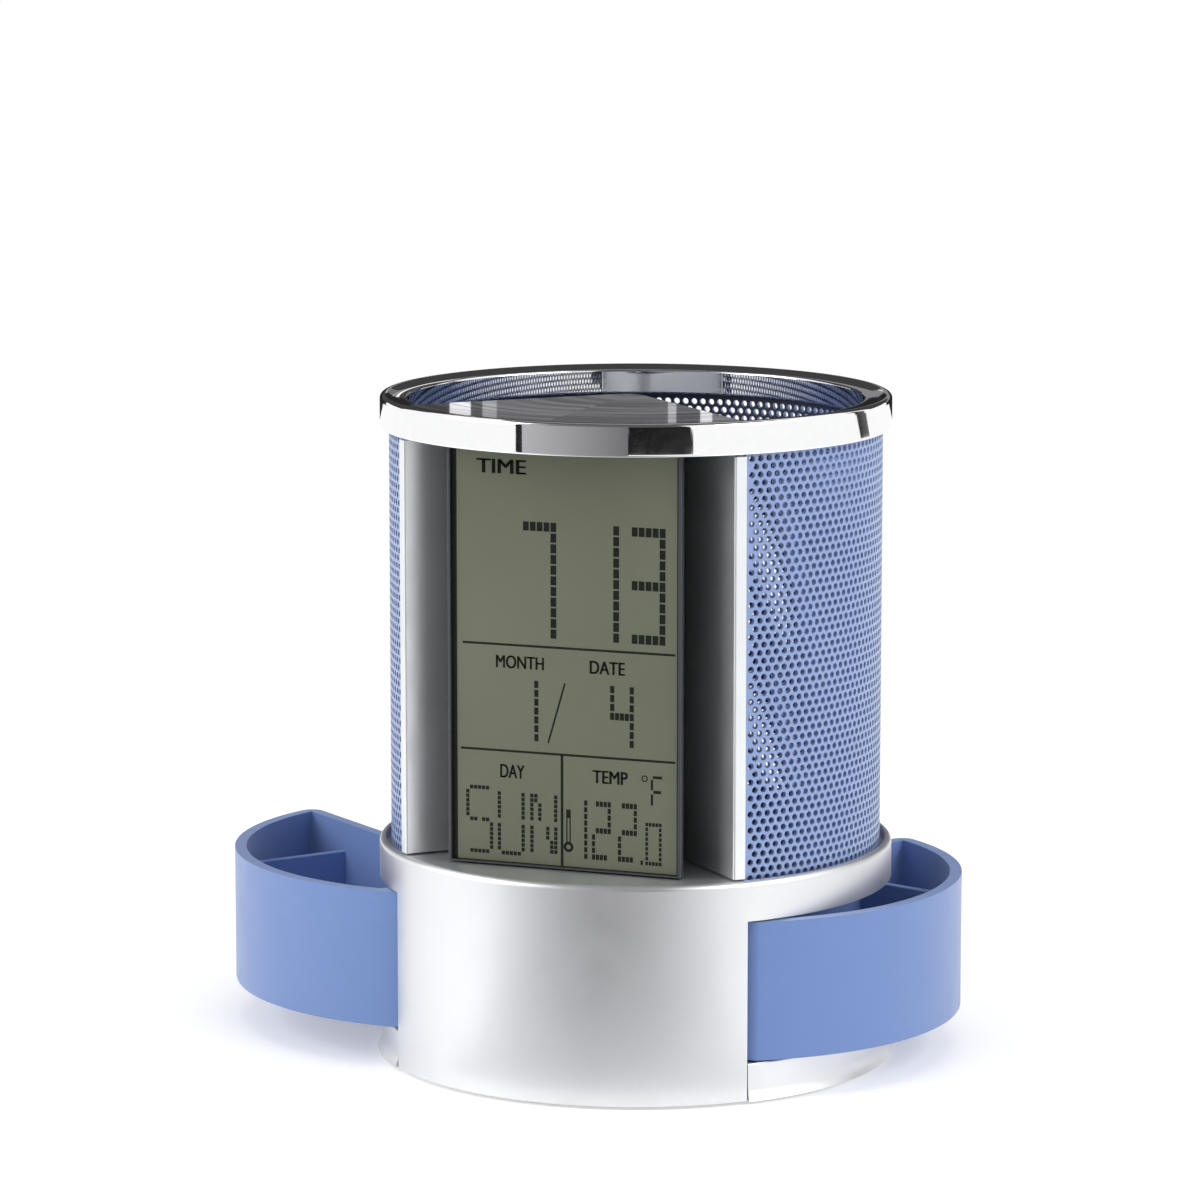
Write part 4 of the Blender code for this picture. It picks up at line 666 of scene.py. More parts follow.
def drawer(side, opening, node):
    """Swing-out tray with rounded edges, an inner fillet and a low divider, opened about its hinge."""
    pivot = spot(PIVOT_RADIUS, PIVOT_ANGLE)
    floor_top = DRAWER_LOW + DRAWER_FLOOR
    divider_top = DRAWER_TOP - DIVIDER_DROP
    tray = prism("fine_" + node, drawer_outline(0.0), DRAWER_LOW, DRAWER_TOP, blue)
    pocket = prism("pocket", drawer_outline(DRAWER_WALL), floor_top, DRAWER_TOP + OVERRUN)
    round_edges(pocket, at_height(floor_top), (DRAWER_CORNER - DRAWER_WALL) / 3)
    cut(tray, pocket)
    round_edges(tray, at_height(DRAWER_TOP), DRAWER_EDGE)
    round_edges(tray, at_height(DRAWER_LOW), DRAWER_EDGE / 2)
    divider_back = DIVIDER_PLACE + DIVIDER_THICKNESS
    reach = sqrt((BASE_RADIUS - DRAWER_WALL / 2) ** 2 - divider_back**2)
    across = rectangle(DRAWER_FACE + DRAWER_WALL / 2, DIVIDER_PLACE, reach, divider_back)
    divider = prism("divider", across, DRAWER_LOW + DRAWER_FLOOR / 2, divider_top)
    round_edges(divider, at_height(divider_top), DIVIDER_THICKNESS / 4)
    join(tray, divider)
    cut(tray, prism("bore", circle(pivot, PIN_RADIUS + PIN_GAP), 0.0, BASE_HEIGHT))
    if side < 0:
        tray.data.transform(Matrix.Scale(-1, 4, (1, 0, 0)))
        tray.data.flip_normals()
    hinge = Matrix.Translation((side * pivot[0], pivot[1], 0))
    tray.data.transform(hinge @ Matrix.Rotation(radians(-side * opening), 4, "Z") @ hinge.inverted())
    place(tray, node, node)


drawer(1, RIGHT_OPENING, "drawer_right")
drawer(-1, LEFT_OPENING, "drawer_left")


# Column and rim
WING_EDGE = 0.0004
FLAT_EDGE = 0.00015


def nose_points(radius):
    """The round end of the wedge, drawn from its right-hand side to its left-hand side."""
    centre = (0.0, -COLUMN_NOSE / sin(radians(COLUMN_HALF_ANGLE)))
    return bow(centre, radius, COLUMN_HALF_ANGLE, 180 - COLUMN_HALF_ANGLE, NOSE_STEPS)


def wedge_wall(reach, thickness):
    """Outline of a V-shaped wall whose outer faces are the wedge's two sides, out to this radius."""
    lean = radians(COLUMN_HALF_ANGLE)
    tip = sqrt(reach**2 - thickness**2)

    def along(distance, side, inset):
        x = distance * sin(lean) - inset * cos(lean)
        return side * x, -distance * cos(lean) - inset * sin(lean)

    return [
        along(reach, 1, 0.0),
        *nose_points(COLUMN_NOSE),
        along(reach, -1, 0.0),
        along(tip, -1, thickness),
        *nose_points(COLUMN_NOSE - thickness)[::-1],
        along(tip, 1, thickness),
    ]


def column():
    """V-shaped wall behind the display, with its two upright wings."""
    outline = soften(wedge_wall(WING_RADIUS, COLUMN_WALL), WING_EDGE)
    body = prism("fine_column", outline, COLUMN_LOW, COLUMN_TOP, wing_silver)
    place(body, "base", "display_column")


column()


def rim_ring():
    """Plated band with rounded edges beside flat strips, a channel for the sheet and a shallow dish."""
    roof = RIM_TOP - RIM_CHANNEL_ROOF
    channel_outer = RIM_RADIUS - RIM_BAND
    channel_inner = RIM_OPENING + RIM_LIP
    small = RIM_EDGE / 2
    profile = (
        bow((RIM_RADIUS - small, RIM_LOW + small), small, -90, 0)
        + [(RIM_RADIUS, RIM_LOW + small + FLAT_EDGE), (RIM_RADIUS, RIM_TOP - RIM_EDGE - FLAT_EDGE)]
        + bow((RIM_RADIUS - RIM_EDGE, RIM_TOP - RIM_EDGE), RIM_EDGE, 0, 90)
        + [(RIM_RADIUS - 2 * RIM_EDGE, RIM_TOP)]
        + [((RIM_RADIUS + RIM_OPENING) / 2, RIM_TOP - RIM_DISH)]
        + bow((RIM_OPENING + small, RIM_TOP - RIM_DISH - small), small, 90, 180)
        + bow((RIM_OPENING + small, RIM_LOW + RIM_EDGE + small), small, 180, 270)
        + [(channel_inner, RIM_LOW + RIM_EDGE), (channel_inner, roof)]
        + [(channel_outer, roof), (channel_outer, RIM_LOW)]
    )
    return turned("fine_rim", profile, plating)


def rim():
    """The ring, and the flush plate with its skirt that closes the wedge above the display."""
    side = RIM_OPENING + RIM_LIP / 2
    reach = RIM_RADIUS - 2 * RIM_EDGE
    top = RIM_TOP - RIM_DECK_DROP
    ring = rim_ring()
    wedge = nose_points(COLUMN_NOSE) + arc(reach, -COLUMN_HALF_ANGLE, COLUMN_HALF_ANGLE)
    deck = prism("fine_rim_deck", wedge, top - RIM_DECK, top, plating)

    def inner_top_edge(a, b):
        return at_height(top)(a, b) and min(a.xy.length, b.xy.length) < RIM_OPENING

    round_edges(deck, inner_top_edge, RIM_EDGE / 2)
    join(deck, prism("skirt", wedge_wall(side, RIM_SKIRT), RIM_LOW, top - RIM_DECK / 2))
    join(ring, deck)
    mesh = ring.data
    mesh.materials.clear()
    mesh.materials.append(plating)
    # The deck's top takes the finish with painted reflection streaks
    mesh.materials.append(deck_with_painted_reflections)
    for face in mesh.polygons:
        middle = face.center
        on_deck = abs(middle.z - top) < RIM_EDGE / 8 and middle.xy.length < reach - RIM_EDGE / 4
        face.material_index = int(on_deck and middle.y < 0 and face.normal.z > LEVEL)
    place(ring, "base", "top_rim")


rim()


# Perforated sheet

def sheet():
    """Steel sheet with staggered round holes, each in a six-sided cell that shares edges with the next."""
    foot = BASE_HEIGHT - GROOVE_DEPTH + FIT_GAP
    head = RIM_TOP - RIM_CHANNEL_ROOF - FIT_GAP
    edge = COLUMN_HALF_ANGLE + degrees(FIT_GAP / MESH_INNER)
    margin = degrees(SHEET_SIDE_MARGIN / MESH_RADIUS)
    start, end = edge + margin, 360 - edge - margin
    across = int((end - start) / degrees(HOLE_PITCH / MESH_RADIUS) - 0.5)
    half_step = (end - start) / (2 * across + 1)
    low, high = foot + SHEET_FOOT_MARGIN, head - SHEET_HEAD_MARGIN
    rows = int((high - low - HOLE_ROW / 3) / HOLE_ROW)
    row_step = (high - low) / (rows + 1 / 3)
    columns = 2 * across + 2
    angles = [edge] + [start + half_step * k for k in range(columns)] + [360 - edge]

    flat = []
    faces = []
    rings = []

    def point(angle, height):
        flat.append((angle, height))
        return len(flat) - 1

    def line(j):
        """The zigzag between row j - 1 and row j, with level ends."""
        peaks = [0.0] + [row_step / 3 * ((k + j + 1) % 2) for k in range(columns)] + [0.0]
        return [point(angle, low + row_step * j + peak) for angle, peak in zip(angles, peaks)]

    def fill(lower, upper, places):
        for k in places:
            faces.append([lower[k], lower[k + 1], upper[k + 1], upper[k]])

    lines = [line(j) for j in range(rows + 1)]
    bottom = [point(angle, foot) for angle in angles]
    top = [point(angle, head) for angle in angles]
    fill(bottom, lines[0], range(columns + 1))
    fill(lines[rows], top, range(columns + 1))
    hole_turn = degrees(HOLE_RADIUS / MESH_RADIUS)
    turns = [2 * pi * n / HOLE_SIDES for n in range(HOLE_SIDES)]
    for j in range(rows):
        lower, upper = lines[j], lines[j + 1]
        shift = j % 2
        fill(lower, upper, (0, 1 if shift else -3, -2))
        middle = low + row_step * (j + 0.5) + row_step / 6
        for k in range(1 + shift, 1 + shift + 2 * across, 2):
            centre = angles[k + 1]
            ring = [point(centre + hole_turn * sin(turn), middle - HOLE_RADIUS * cos(turn)) for turn in turns]
            rings.append(ring)
            around = [lower[k + 1], lower[k + 2], upper[k + 2], upper[k + 1], upper[k], lower[k]]
            for m in range(6):
                here, there = around[m], around[(m + 1) % 6]
                faces.append([here, there] + [ring[(2 * m + n) % HOLE_SIDES] for n in (2, 1, 0)])
    total = len(flat)
    places = [(*spot(MESH_RADIUS, angle), height) for angle, height in flat]
    places += [(*spot(MESH_INNER, angle), height) for angle, height in flat]
    solid = list(faces) + [[total + index for index in face[::-1]] for face in faces]
    sides = [made[-1] for made in lines], [made[0] for made in lines]
    outline = bottom + sides[0] + top[::-1] + sides[1][::-1]
    for loop in rings + [outline]:
        for a, b in zip(loop, loop[1:] + loop[:1]):
            solid.append([b, a, total + a, total + b])
    mesh = bpy.data.meshes.new("fine_perforated_wall")
    mesh.from_pydata(places, [], solid)
    mesh.materials.append(blue_steel)
    mesh.materials.append(painted_shade_steel)
    # The inner faces take the dark navy: painted shade for the shadowed inside of the cup
    for index in range(len(faces), 2 * len(faces)):
        mesh.polygons[index].material_index = 1
    smooth(mesh)
    place(linked("fine_perforated_wall", mesh), "base", "perforated_wall")


sheet()


# Clock case and display
CASE_EDGE = 0.0003
CHEEK = 0.0012
WINDOW_SIDE = 0.0197
WINDOW_MARGIN = 0.00022
GLASS_SIDE = 0.01978
GLASS_MARGIN = 0.00012
GLASS_THICKNESS = 0.0009
POCKET_GAP = 0.00006


def case_outline(inset, front, back):
    """The case from above: straight cheeks at the front, then sides that close in."""
    cheek_end = CASE_FRONT + CHEEK
    slope = (CASE_HALF_WIDTH - CASE_BACK_HALF_WIDTH) / (CASE_BACK - cheek_end)
    depths = (front, max(front, cheek_end), back)
    right = [(CASE_HALF_WIDTH - max(0.0, depth - cheek_end) * slope - inset, depth) for depth in depths]
    return right + [(-x, y) for x, y in right[::-1]]


def face_outline(side, margin):
    """A rectangle on the case's face, this far in from its foot and its head."""
    return rectangle(-side, COLUMN_LOW + margin, side, COLUMN_TOP - margin)


def case():
    """Shell round the display: a thin front frame, a pocket for the glass and the room behind it."""
    outline = soften(case_outline(0.0, CASE_FRONT, CASE_BACK), CASE_EDGE)
    body = prism("fine_clock_case", outline, COLUMN_LOW, COLUMN_TOP, case_grey)
    seat = CASE_FRONT + CASE_LIP
    room = case_outline(CASE_WALL, seat + GLASS_THICKNESS, CASE_BACK + OVERRUN)
    cut(body, prism("room", room, COLUMN_LOW + CASE_WALL, COLUMN_TOP - CASE_WALL))
    pocket = face_outline(GLASS_SIDE + POCKET_GAP, GLASS_MARGIN - POCKET_GAP)
    cut(body, upright_plate("pocket", pocket, seat, GLASS_FRONT + GLASS_THICKNESS + POCKET_GAP))
    window = soften(face_outline(WINDOW_SIDE, WINDOW_MARGIN), CASE_EDGE)
    cut(body, upright_plate("window", window, CASE_FRONT - OVERRUN, seat + SINK))
    place(body, "base", "clock_case")


def glass():
    """The liquid crystal cell, with a ground edge."""
    outline = soften(face_outline(GLASS_SIDE, GLASS_MARGIN), CASE_EDGE)
    back = GLASS_FRONT + GLASS_THICKNESS
    cell = upright_plate("fine_display_cell", outline, GLASS_FRONT, back, crystal_face)
    place(cell, "base", "display_cell")


glass()
case()

# What the display shows. Places on it are in millimetres: across from its middle, then up from the table
MM = 0.001
INK_GAP = 0.00001
INK_THICKNESS = 0.00002
INK_BACK = GLASS_FRONT - INK_GAP
INK_FRONT = INK_BACK - INK_THICKNESS
RING_SIDES = 24

# A second copy of each word, so far to the right of the first in text sizes, makes it bold
LABEL_WEIGHT = 0.06

# Each word's left, low, right and high end
LABELS = {
    "TIME": (-15.3, 101.4, -6.6, 103.7),
    "MONTH": (-12.0, 69.6, -3.6, 71.7),
    "DATE": (4.3, 69.6, 10.4, 71.7),
    "DAY": (-11.3, 51.5, -7.0, 53.7),
    "TEMP": (4.8, 51.7, 10.9, 53.8),
}

# Styles of dot characters: pitch, dot and height of the top
TIME_STYLE = ((1.19, 1.74), (0.98, 1.48), 93.8)
DATE_STYLE = ((0.84, 1.46), (0.7, 1.16), 67.8)
DAY_STYLE = ((0.695, 0.755), (0.56, 0.61), 49.9)
DEGREE_STYLE = ((0.68, 1.1), (0.54, 0.86), 48.7)
TENTH_STYLE = ((0.58, 0.8), (0.44, 0.58), 45.8)

# Strokes: start, end and width
DIVIDERS = (
    ((-17.8, 73.45), (19.0, 73.45), 0.36),
    ((-18.2, 55.95), (19.05, 55.95), 0.36),
    ((-0.5, 55.95), (-0.5, 37.6), 0.44),
)
SLASH = ((-2.9, 57.7), (0.02, 67.7), 0.28)
LETTER_F = (
    ((15.2, 53.3), (16.8, 53.3), 0.46),
    ((15.05, 52.9), (15.05, 51.2), 0.38),
    ((15.3, 50.9), (16.6, 50.9), 0.5),
    ((15.05, 50.5), (15.05, 48.7), 0.38),
)
POINT = (13.1, 38.8, 13.5, 39.5)

# Rings: centre, outer and inner radius
DEGREE_SIGN = ((13.8, 53.0), 0.55, 0.36)
BULB = ((0.62, 40.8), 0.85, 0.4)

# The thermometer's tube, and the box that its head fills
TUBE_SIDES = (0.34, 0.9)
TUBE_ENDS = (41.4, 46.0)
TUBE_LINE = 0.2
TUBE_HEAD = (0.24, 45.6, 1.00, 47.0)

# Inner edges of the black band round the display, and its width at the foot: painted shade for the frame's
# recess walls and the shadow at the window's edges
SHADE_BAND_LEFT = -18.8
SHADE_BAND_RIGHT = 19.3
SHADE_BAND_FOOT = 0.15


def printed(name, mesh):
    """Black ink on the display."""
    mesh.materials.append(ink_black)
    place(linked(name, mesh), "base")


class Ink:
    """Collects flat marks on the display and makes one thin solid of them."""

    def __init__(self):
        self.bm = bmesh.new()

    def area(self, outline):
        front = [self.bm.verts.new((x * MM, INK_FRONT, z * MM)) for x, z in outline]
        back = [self.bm.verts.new((x * MM, INK_BACK, z * MM)) for x, z in outline]
        self.bm.faces.new(front)
        self.bm.faces.new(back[::-1])
        for a, b, c, d in zip(front, front[1:] + front[:1], back[1:] + back[:1], back):
            self.bm.faces.new((b, a, d, c))

    def bar(self, left, low, right, high):
        self.area(rectangle(left, low, right, high))

    def stroke(self, start, end, width):
        along = Vector(end) - Vector(start)
        side = Vector((-along.y, along.x)).normalized() * width / 2
        points = (Vector(start) - side, Vector(end) - side, Vector(end) + side, Vector(start) + side)
        self.area([tuple(point) for point in points])

    def characters(self, style, *placed):
        """Characters, each with its left end: one dot for each star in its rows of text."""
        pitch, dot, top = style
        for rows, left in placed:
            for j, row in enumerate(rows):
                for i, mark in enumerate(row):
                    if mark == "*":
                        x = left + pitch[0] * i
                        z = top - pitch[1] * j
                        self.bar(x, z - dot[1], x + dot[0], z)

    def ring(self, centre, outer, inner):
        turns = [2 * pi * i / RING_SIDES for i in range(RING_SIDES + 1)]
        for a, b in zip(turns, turns[1:]):
            spots = [(outer, a), (outer, b), (inner, b), (inner, a)]
            self.area([(centre[0] + r * cos(t), centre[1] + r * sin(t)) for r, t in spots])

    def make(self, name):
        bmesh.ops.recalc_face_normals(self.bm, faces=self.bm.faces)
        printed(name, mesh_of(name, self.bm))


def label(words, left, low, right, high):
    """A printed word that fills this box."""
    name = "label_" + words.lower()
    text = bpy.data.curves.new(name, "FONT")
    text.body = words
    text.size = 1.0
    maker = linked("maker", text)
    graph = bpy.context.evaluated_depsgraph_get()
    mesh = bpy.data.meshes.new_from_object(maker.evaluated_get(graph))
    bpy.data.objects.remove(maker, do_unlink=True)
    bm = bmesh.new()
    bm.from_mesh(mesh)
    copied = bmesh.ops.duplicate(bm, geom=bm.verts[:] + bm.edges[:] + bm.faces[:])
    move_points(bm, copied["geom"], (LABEL_WEIGHT, 0, 0))
    bm.to_mesh(mesh)
    bm.free()
    xs = [vertex.co.x for vertex in mesh.vertices]
    ys = [vertex.co.y for vertex in mesh.vertices]
    first, lowest = min(xs), min(ys)
    wide = (right - left) / (max(xs) - first)
    tall = (high - low) / (max(ys) - lowest)
    for vertex, x, y in zip(mesh.vertices, xs, ys):
        vertex.co = ((left + (x - first) * wide) * MM, INK_FRONT, (low + (y - lowest) * tall) * MM)
    mesh.materials.clear()
    printed(name, mesh)


def border(ink):
    """Black band round the shown area, drawn in ink: painted shade for the frame's recess walls and the
    shadow at the window's edges.
    """
    low = (COLUMN_LOW + WINDOW_MARGIN) / MM
    high = (COLUMN_TOP - WINDOW_MARGIN) / MM
    side = GLASS_SIDE / MM
    ink.bar(-side, low, SHADE_BAND_LEFT, high)
    ink.bar(SHADE_BAND_RIGHT, low, side, high)
    ink.bar(SHADE_BAND_LEFT, low, SHADE_BAND_RIGHT, low + SHADE_BAND_FOOT)


def time_digits(ink):
    """7 and 13."""
    seven = ["*****"] + ["    *"] * 10
    one = ["    *"] * 11
    three = (["*****"] + ["    *"] * 4) * 2 + ["*****"]
    ink.characters(TIME_STYLE, (seven, -7.2), (one, 3.62), (three, 11.55))


def date_digits(ink):
    """1 / 4."""
    one = ["    *"] * 7
    four = ["*   *"] * 3 + ["*****"] + ["    *"] * 3
    ink.characters(DATE_STYLE, (one, -8.66), (four, 7.85))
    ink.stroke(*SLASH)


def dividers(ink):
    for line in DIVIDERS:
        ink.stroke(*line)


def day_letters(ink):
    """S, U and N, each in an upper and a lower half."""
    gap = ["       "]
    s_rows = [" ***** "] + ["*      "] * 6 + [" ** ** "] + ["      *"] * 6 + [" ***** "]
    u_rows = (gap + ["*     *"] * 6) * 2 + [" ***** "]
    n_rows = gap + ["**    *"] * 2 + ["* *   *"] * 4 + gap + ["*   * *"] * 3 + ["*    **"] * 3
    ink.characters(DAY_STYLE, (s_rows, -17.3), (u_rows, -11.75), (n_rows, -6.05))


def temperature_digits(ink):
    """122 with a small tenth, its point, and the sign for degrees."""
    one = ["*"] * 9
    two = [" ****"] + ["    *"] * 3 + [" ****"] + ["*    "] * 3 + ["**** "]
    nought = ["*****"] + ["*   *"] * 7 + ["*****"]
    ink.characters(DEGREE_STYLE, (one, 3.35), (two, 4.7), (two, 9.2))
    ink.characters(TENTH_STYLE, (nought, 13.95))
    ink.bar(*POINT)
    ink.ring(*DEGREE_SIGN)
    for line in LETTER_F:
        ink.stroke(*line)


def thermometer(ink):
    """Outline of a bulb thermometer with a filled head."""
    low, high = TUBE_ENDS
    for x in TUBE_SIDES:
        ink.stroke((x, low), (x, high), TUBE_LINE)
    ink.bar(*TUBE_HEAD)
    ink.ring(*BULB)


MARKS = {
    "display_border": border,
    "digits_time": time_digits,
    "digits_date": date_digits,
    "display_dividers": dividers,
    "letters_day": day_letters,
    "digits_temperature": temperature_digits,
    "thermometer_mark": thermometer,
}
for words, box in LABELS.items():
    label(words, *box)
for name, draw in MARKS.items():
    ink = Ink()
    draw(ink)
    ink.make(name)


# A carried-over piece gets the finish beside the first word that its name holds
FINISHES = (
    ("screw", zinc),
    ("pin", zinc),
    ("spring", zinc),
    ("strip", rubber),
    ("contact", zinc),
    ("quartz", zinc),
    ("bridge", zinc),
    ("foot", rubber),
    ("door", silver),
    ("mat", foam),
    ("board", board_green),
    ("battery_cell", jacket),
    ("", dark_plastic),
)
for name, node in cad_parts.items():
    if node.type == "MESH":
        for slot in node.material_slots:
            slot.material = next(finish for word, finish in FINISHES if word in name)


# Camera, as fitted to the photo's outlines. AIM_TURN is the direction that it looks from
AIM_TURN = 21.0
LENS = 155.835
SENSOR = 36.0
CAMERA_TILT = 80.85
CAMERA_REACH = 0.8564
CAMERA_SIDE = -0.00596
CAMERA_HEIGHT = 0.2144
NEAREST = 0.01
FURTHEST = 20.0

# Floor and backdrop
WHITE = (1.0, 1.0, 1.0)
SOFT_LIGHT = 0.4
FLOOR_HALF = 4.0
FLOOR_TONE = (0.92, 0.92, 0.92)
FLOOR_ROUGHNESS = 0.6
FLOOR_GLOW = 0.3
SHADED_REACH = 0.12
WHITE_REACH = 0.4

# Lamps: name, direction from the camera's, height, reach, size and power
LAMP_AIM = (0, 0, 0.05)
LAMPS = (
    ("key", 62, 0.55, 0.75, 0.5, 3.9),
    ("fill", -75, 0.45, 0.8, 0.6, 4.2),
    ("over", 0, 1.0, 0.1, 0.8, 2.7),
)


def camera():
    data = bpy.data.cameras.new("camera")
    data.lens = LENS
    data.sensor_width = SENSOR
    data.sensor_fit = "HORIZONTAL"
    data.clip_start = NEAREST
    data.clip_end = FURTHEST
    made = linked("camera", data)
    turn = radians(AIM_TURN)
    x, y = spot(CAMERA_REACH, AIM_TURN)
    made.location = (x + CAMERA_SIDE * cos(turn), y + CAMERA_SIDE * sin(turn), CAMERA_HEIGHT)
    made.rotation_euler = (radians(CAMERA_TILT), 0, turn)
    bpy.context.scene.camera = made


def lamp(name, direction, height, reach, size, power):
    """A soft square lamp, aimed at the object."""
    data = bpy.data.lights.new(name, "AREA")
    data.shape = "RECTANGLE"
    data.size = data.size_y = size
    data.energy = power
    made = linked(name, data)
    made.location = (*spot(reach, AIM_TURN + direction), height)
    made.rotation_euler = (Vector(LAMP_AIM) - made.location).to_track_quat("-Z", "Y").to_euler()


def white_share(tree):
    """1 where the camera, a mirror or glass looks, 0 for the light that falls on things."""
    path = add_node(tree, "ShaderNodeLightPath").outputs
    share = path["Is Camera Ray"]
    for ray in ("Is Glossy Ray", "Is Transmission Ray"):
        share = add_node(tree, "ShaderNodeMath", {0: share, 1: path[ray]}, operation="MAXIMUM").outputs[0]
    return share


def mix(tree, share, first, second):
    return add_node(tree, "ShaderNodeMixShader", {0: share, 1: first, 2: second}).outputs[0]


def glow(tree, colour, strength=1.0):
    return add_node(tree, "ShaderNodeEmission", {"Color": colour, "Strength": strength}).outputs[0]


def backdrop():
    """Soft light from all round, and plain white where it is looked at."""
    world = bpy.data.worlds.new("studio")
    bpy.context.scene.world = world
    world.use_nodes = True
    tree = world.node_tree
    tree.nodes.clear()
    shades = []
    for strength in (SOFT_LIGHT, 1.0):
        shade = add_node(tree, "ShaderNodeBackground", {"Color": WHITE, "Strength": strength})
        shades.append(shade.outputs[0])
    add_node(tree, "ShaderNodeOutputWorld", {"Surface": mix(tree, white_share(tree), *shades)})


def floor():
    """Pale floor: shaded round the object, so that its shadow shows, and plain white further out."""
    mesh = bpy.data.meshes.new("floor")
    corners = rectangle(-FLOOR_HALF, -FLOOR_HALF, FLOOR_HALF, FLOOR_HALF)
    mesh.from_pydata([(x, y, 0) for x, y in corners], [], [(0, 1, 2, 3)])
    made = linked("floor", mesh)
    finish = Finish("floor_white")
    mesh.materials.append(finish.set(colour=FLOOR_TONE, roughness=FLOOR_ROUGHNESS))
    tree = finish.tree
    seen = white_share(tree)
    spread = mix(tree, seen, glow(tree, WHITE, 0.0), glow(tree, WHITE, FLOOR_GLOW))
    shaded = finish.add("ShaderNodeAddShader", {0: finish.shader.outputs[0], 1: spread}).outputs[0]
    distance = finish.add("ShaderNodeVectorMath", {0: finish.place}, operation="LENGTH").outputs["Value"]
    reaches = {"Value": distance, "From Min": SHADED_REACH, "From Max": WHITE_REACH}
    away = finish.add("ShaderNodeMapRange", reaches, interpolation_type="SMOOTHSTEP").outputs["Result"]
    outer = finish.add("ShaderNodeMath", {0: away, 1: seen}, operation="MULTIPLY").outputs[0]
    surface = mix(tree, outer, shaded, glow(tree, WHITE))
    tree.links.new(surface, tree.nodes["Material Output"].inputs["Surface"])


camera()
backdrop()
floor()


# Cards that only mirrors show. They stand for the studio round the plated rim
CARD_STEPS = 24
CARD_REACH = 0.45
CORNER_TURN = 2.5
FLOOR_CARD_HEIGHT = 0.001
FLOOR_MIRRORED = (1.05, 1.05, 1.08)
REAR_REACH = 0.45

# Round the axis: name, first and last direction from the camera's, low and high end, first and last grey,
# and for some the size of their rounded corners and the turn of their foot
STANDING_CARDS = (
    ("thin_strip", -52.6, -49.6, 0.0, 1.0, 0.012, 0.03),
    ("grey_sheet", -49.6, -3.5, 0.0, 1.0, 0.47, 0.17),
    ("black_block", -4.2, 23.7, 0.0505, 0.0592, 0.01, 0.018, 0.002),
    ("dark_above", -3.6, 22.6, 0.0588, 0.3, 0.012, 0.018),
    ("grey_above", -46.0, 22.6, 0.3, 1.0, 0.12, 0.1),
    ("curved_edge", 109.5, 118.0, 0.051, 0.06, 0.02, 0.14, 0.0, 6.0),
    ("upper_edge", 109.5, 118.0, 0.06, 0.3, 0.02, 0.14),
)

# Over the floor: first and last direction from the camera's, and the distances with their greys
DARK_FLOOR = (-55.0, 33.0, ((0.05, 0.85), (0.1, 0.42), (0.2, 0.18), (0.42, 0.04)))

# Overhead: half its width, height and grey
OVERHEAD = (0.35, 0.7, 0.1)

# Behind the object: name, low and high end, and the left and right end across the view with a grey
REAR_CARDS = (
    ("over_the_deck", 0.163, 0.2, (
        (-0.3, -0.044, 0.06),
        (-0.044, -0.0387, 1.0),
        (-0.0387, -0.0357, 0.1),
        (-0.0357, -0.0321, 0.42),
        (-0.0321, 0.0113, 0.17),
        (0.0113, 0.0134, 0.55),
        (0.0134, 0.0195, 0.13),
        (0.0195, 0.0225, 1.0),
        (0.0225, 0.3, 0.24),
    )),
    ("above_the_deck", 0.2, 0.6, ((-0.6, 0.6, 0.05),)),
    ("behind_the_ring", 0.05, 0.163, ((-0.3, 0.3, 0.02),)),
)


def card(name, rows, shades):
    """A card of rows of points, with a shade for each point."""
    bm = bmesh.new()
    tone = bm.verts.layers.float_color.new("shade")
    made_rows = []
    for row, row_shades in zip(rows, shades):
        made_row = [bm.verts.new(point) for point in row]
        for vertex, shade in zip(made_row, row_shades):
            vertex[tone] = (*shade, 1.0)
        made_rows.append(made_row)
    for low, high in zip(made_rows, made_rows[1:]):
        for a, b, c, d in zip(low, low[1:], high[1:], high):
            bm.faces.new((a, b, c, d))
    mesh = mesh_of(name, bm)
    finish = bpy.data.materials.new(name + "_finish")
    finish.use_nodes = True
    tree = finish.node_tree
    tree.nodes.clear()
    colour = add_node(tree, "ShaderNodeAttribute", attribute_name="shade").outputs["Color"]
    add_node(tree, "ShaderNodeOutputMaterial", {"Surface": glow(tree, colour)})
    mesh.materials.append(finish)
    made = linked(name, mesh)
    made.visible_camera = False
    made.visible_diffuse = False
    made.visible_shadow = False
    made.visible_transmission = False


def grey(value):
    """A grey that is a little cool."""
    return value, value, value * 1.03


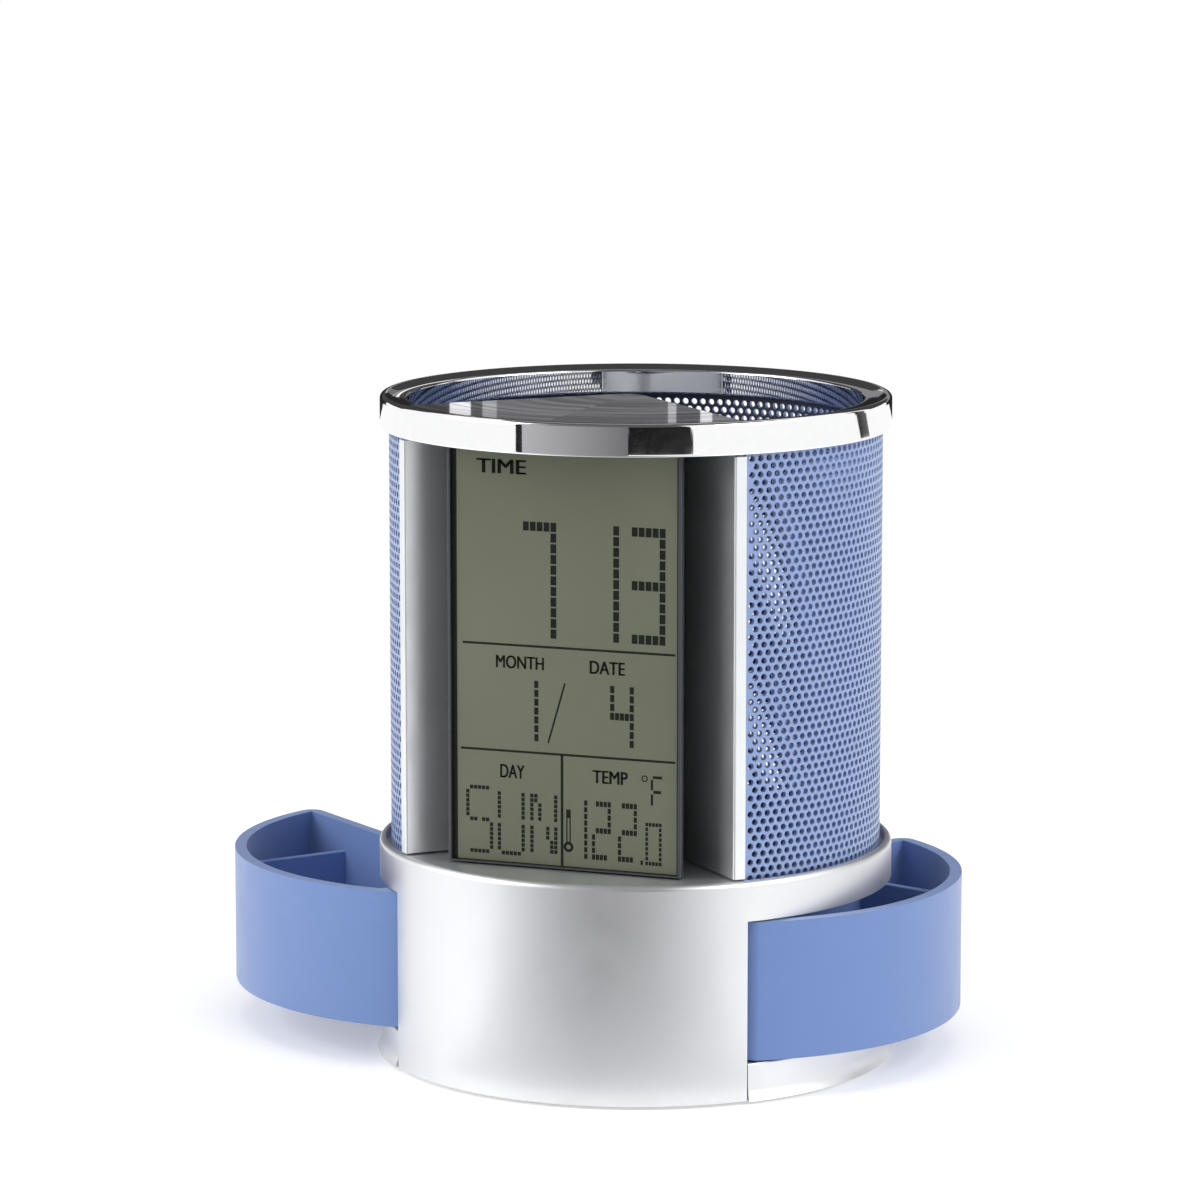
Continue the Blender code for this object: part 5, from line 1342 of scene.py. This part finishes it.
def fade(first, last, share):
    return tuple(a * (1 - share) + b * share for a, b in zip(first, last))


def standing_card(name, start, end, low, high, first, last, corner=0.0, lean=0.0):
    """Curved round the axis, with corners cut round and the foot turned by lean."""
    rows = ([], [])
    shades = []
    for i in range(CARD_STEPS + 1):
        share = i / CARD_STEPS
        from_end = min(share, 1 - share) * abs(end - start)
        drop = 0.0
        if from_end < CORNER_TURN:
            drop = corner * (1 - sqrt(1 - (1 - from_end / CORNER_TURN) ** 2))
        turn = AIM_TURN + start + (end - start) * share
        rows[0].append((*spot(CARD_REACH, turn + lean), low + drop))
        rows[1].append((*spot(CARD_REACH, turn), high - drop))
        shades.append(fade(grey(first), grey(last), share))
    card(name, rows, (shades, shades))


def floor_card(name, start, end, stops):
    """Flat sector just over the floor, fading into it at its sides."""
    shares = [i / CARD_STEPS for i in range(CARD_STEPS + 1)]
    turns = [AIM_TURN + start + (end - start) * share for share in shares]
    rows = [[(*spot(reach, turn), FLOOR_CARD_HEIGHT) for turn in turns] for reach, _ in stops]
    shades = [[fade(FLOOR_MIRRORED, grey(tone), sin(pi * share)) for share in shares] for _, tone in stops]
    card(name, rows, shades)


def overhead_card(name, half, height, tone):
    rows = [[(x, y, height) for x in (-half, half)] for y in (-half, half)]
    card(name, rows, [[grey(tone)] * 2] * 2)


def rear_card(name, low, high, spans):
    """Flat card behind the object, across the camera's view."""
    turn = radians(AIM_TURN)
    across = Vector((cos(turn), sin(turn), 0))
    back = Vector((-sin(turn), cos(turn), 0)) * REAR_REACH
    for number, (left, right, tone) in enumerate(spans):
        ends = [back + across * offset for offset in (left, right)]
        rows = [[(end.x, end.y, level) for end in ends] for level in (low, high)]
        card(name + "_" + str(number), rows, [[grey(tone)] * 2] * 2)


for settings in STANDING_CARDS:
    standing_card(*settings)
floor_card("dark_floor", *DARK_FLOOR)
overhead_card("overhead", *OVERHEAD)
for settings in REAR_CARDS:
    rear_card(*settings)
for settings in LAMPS:
    lamp(*settings)

bpy.context.scene.view_settings.view_transform = "Standard"
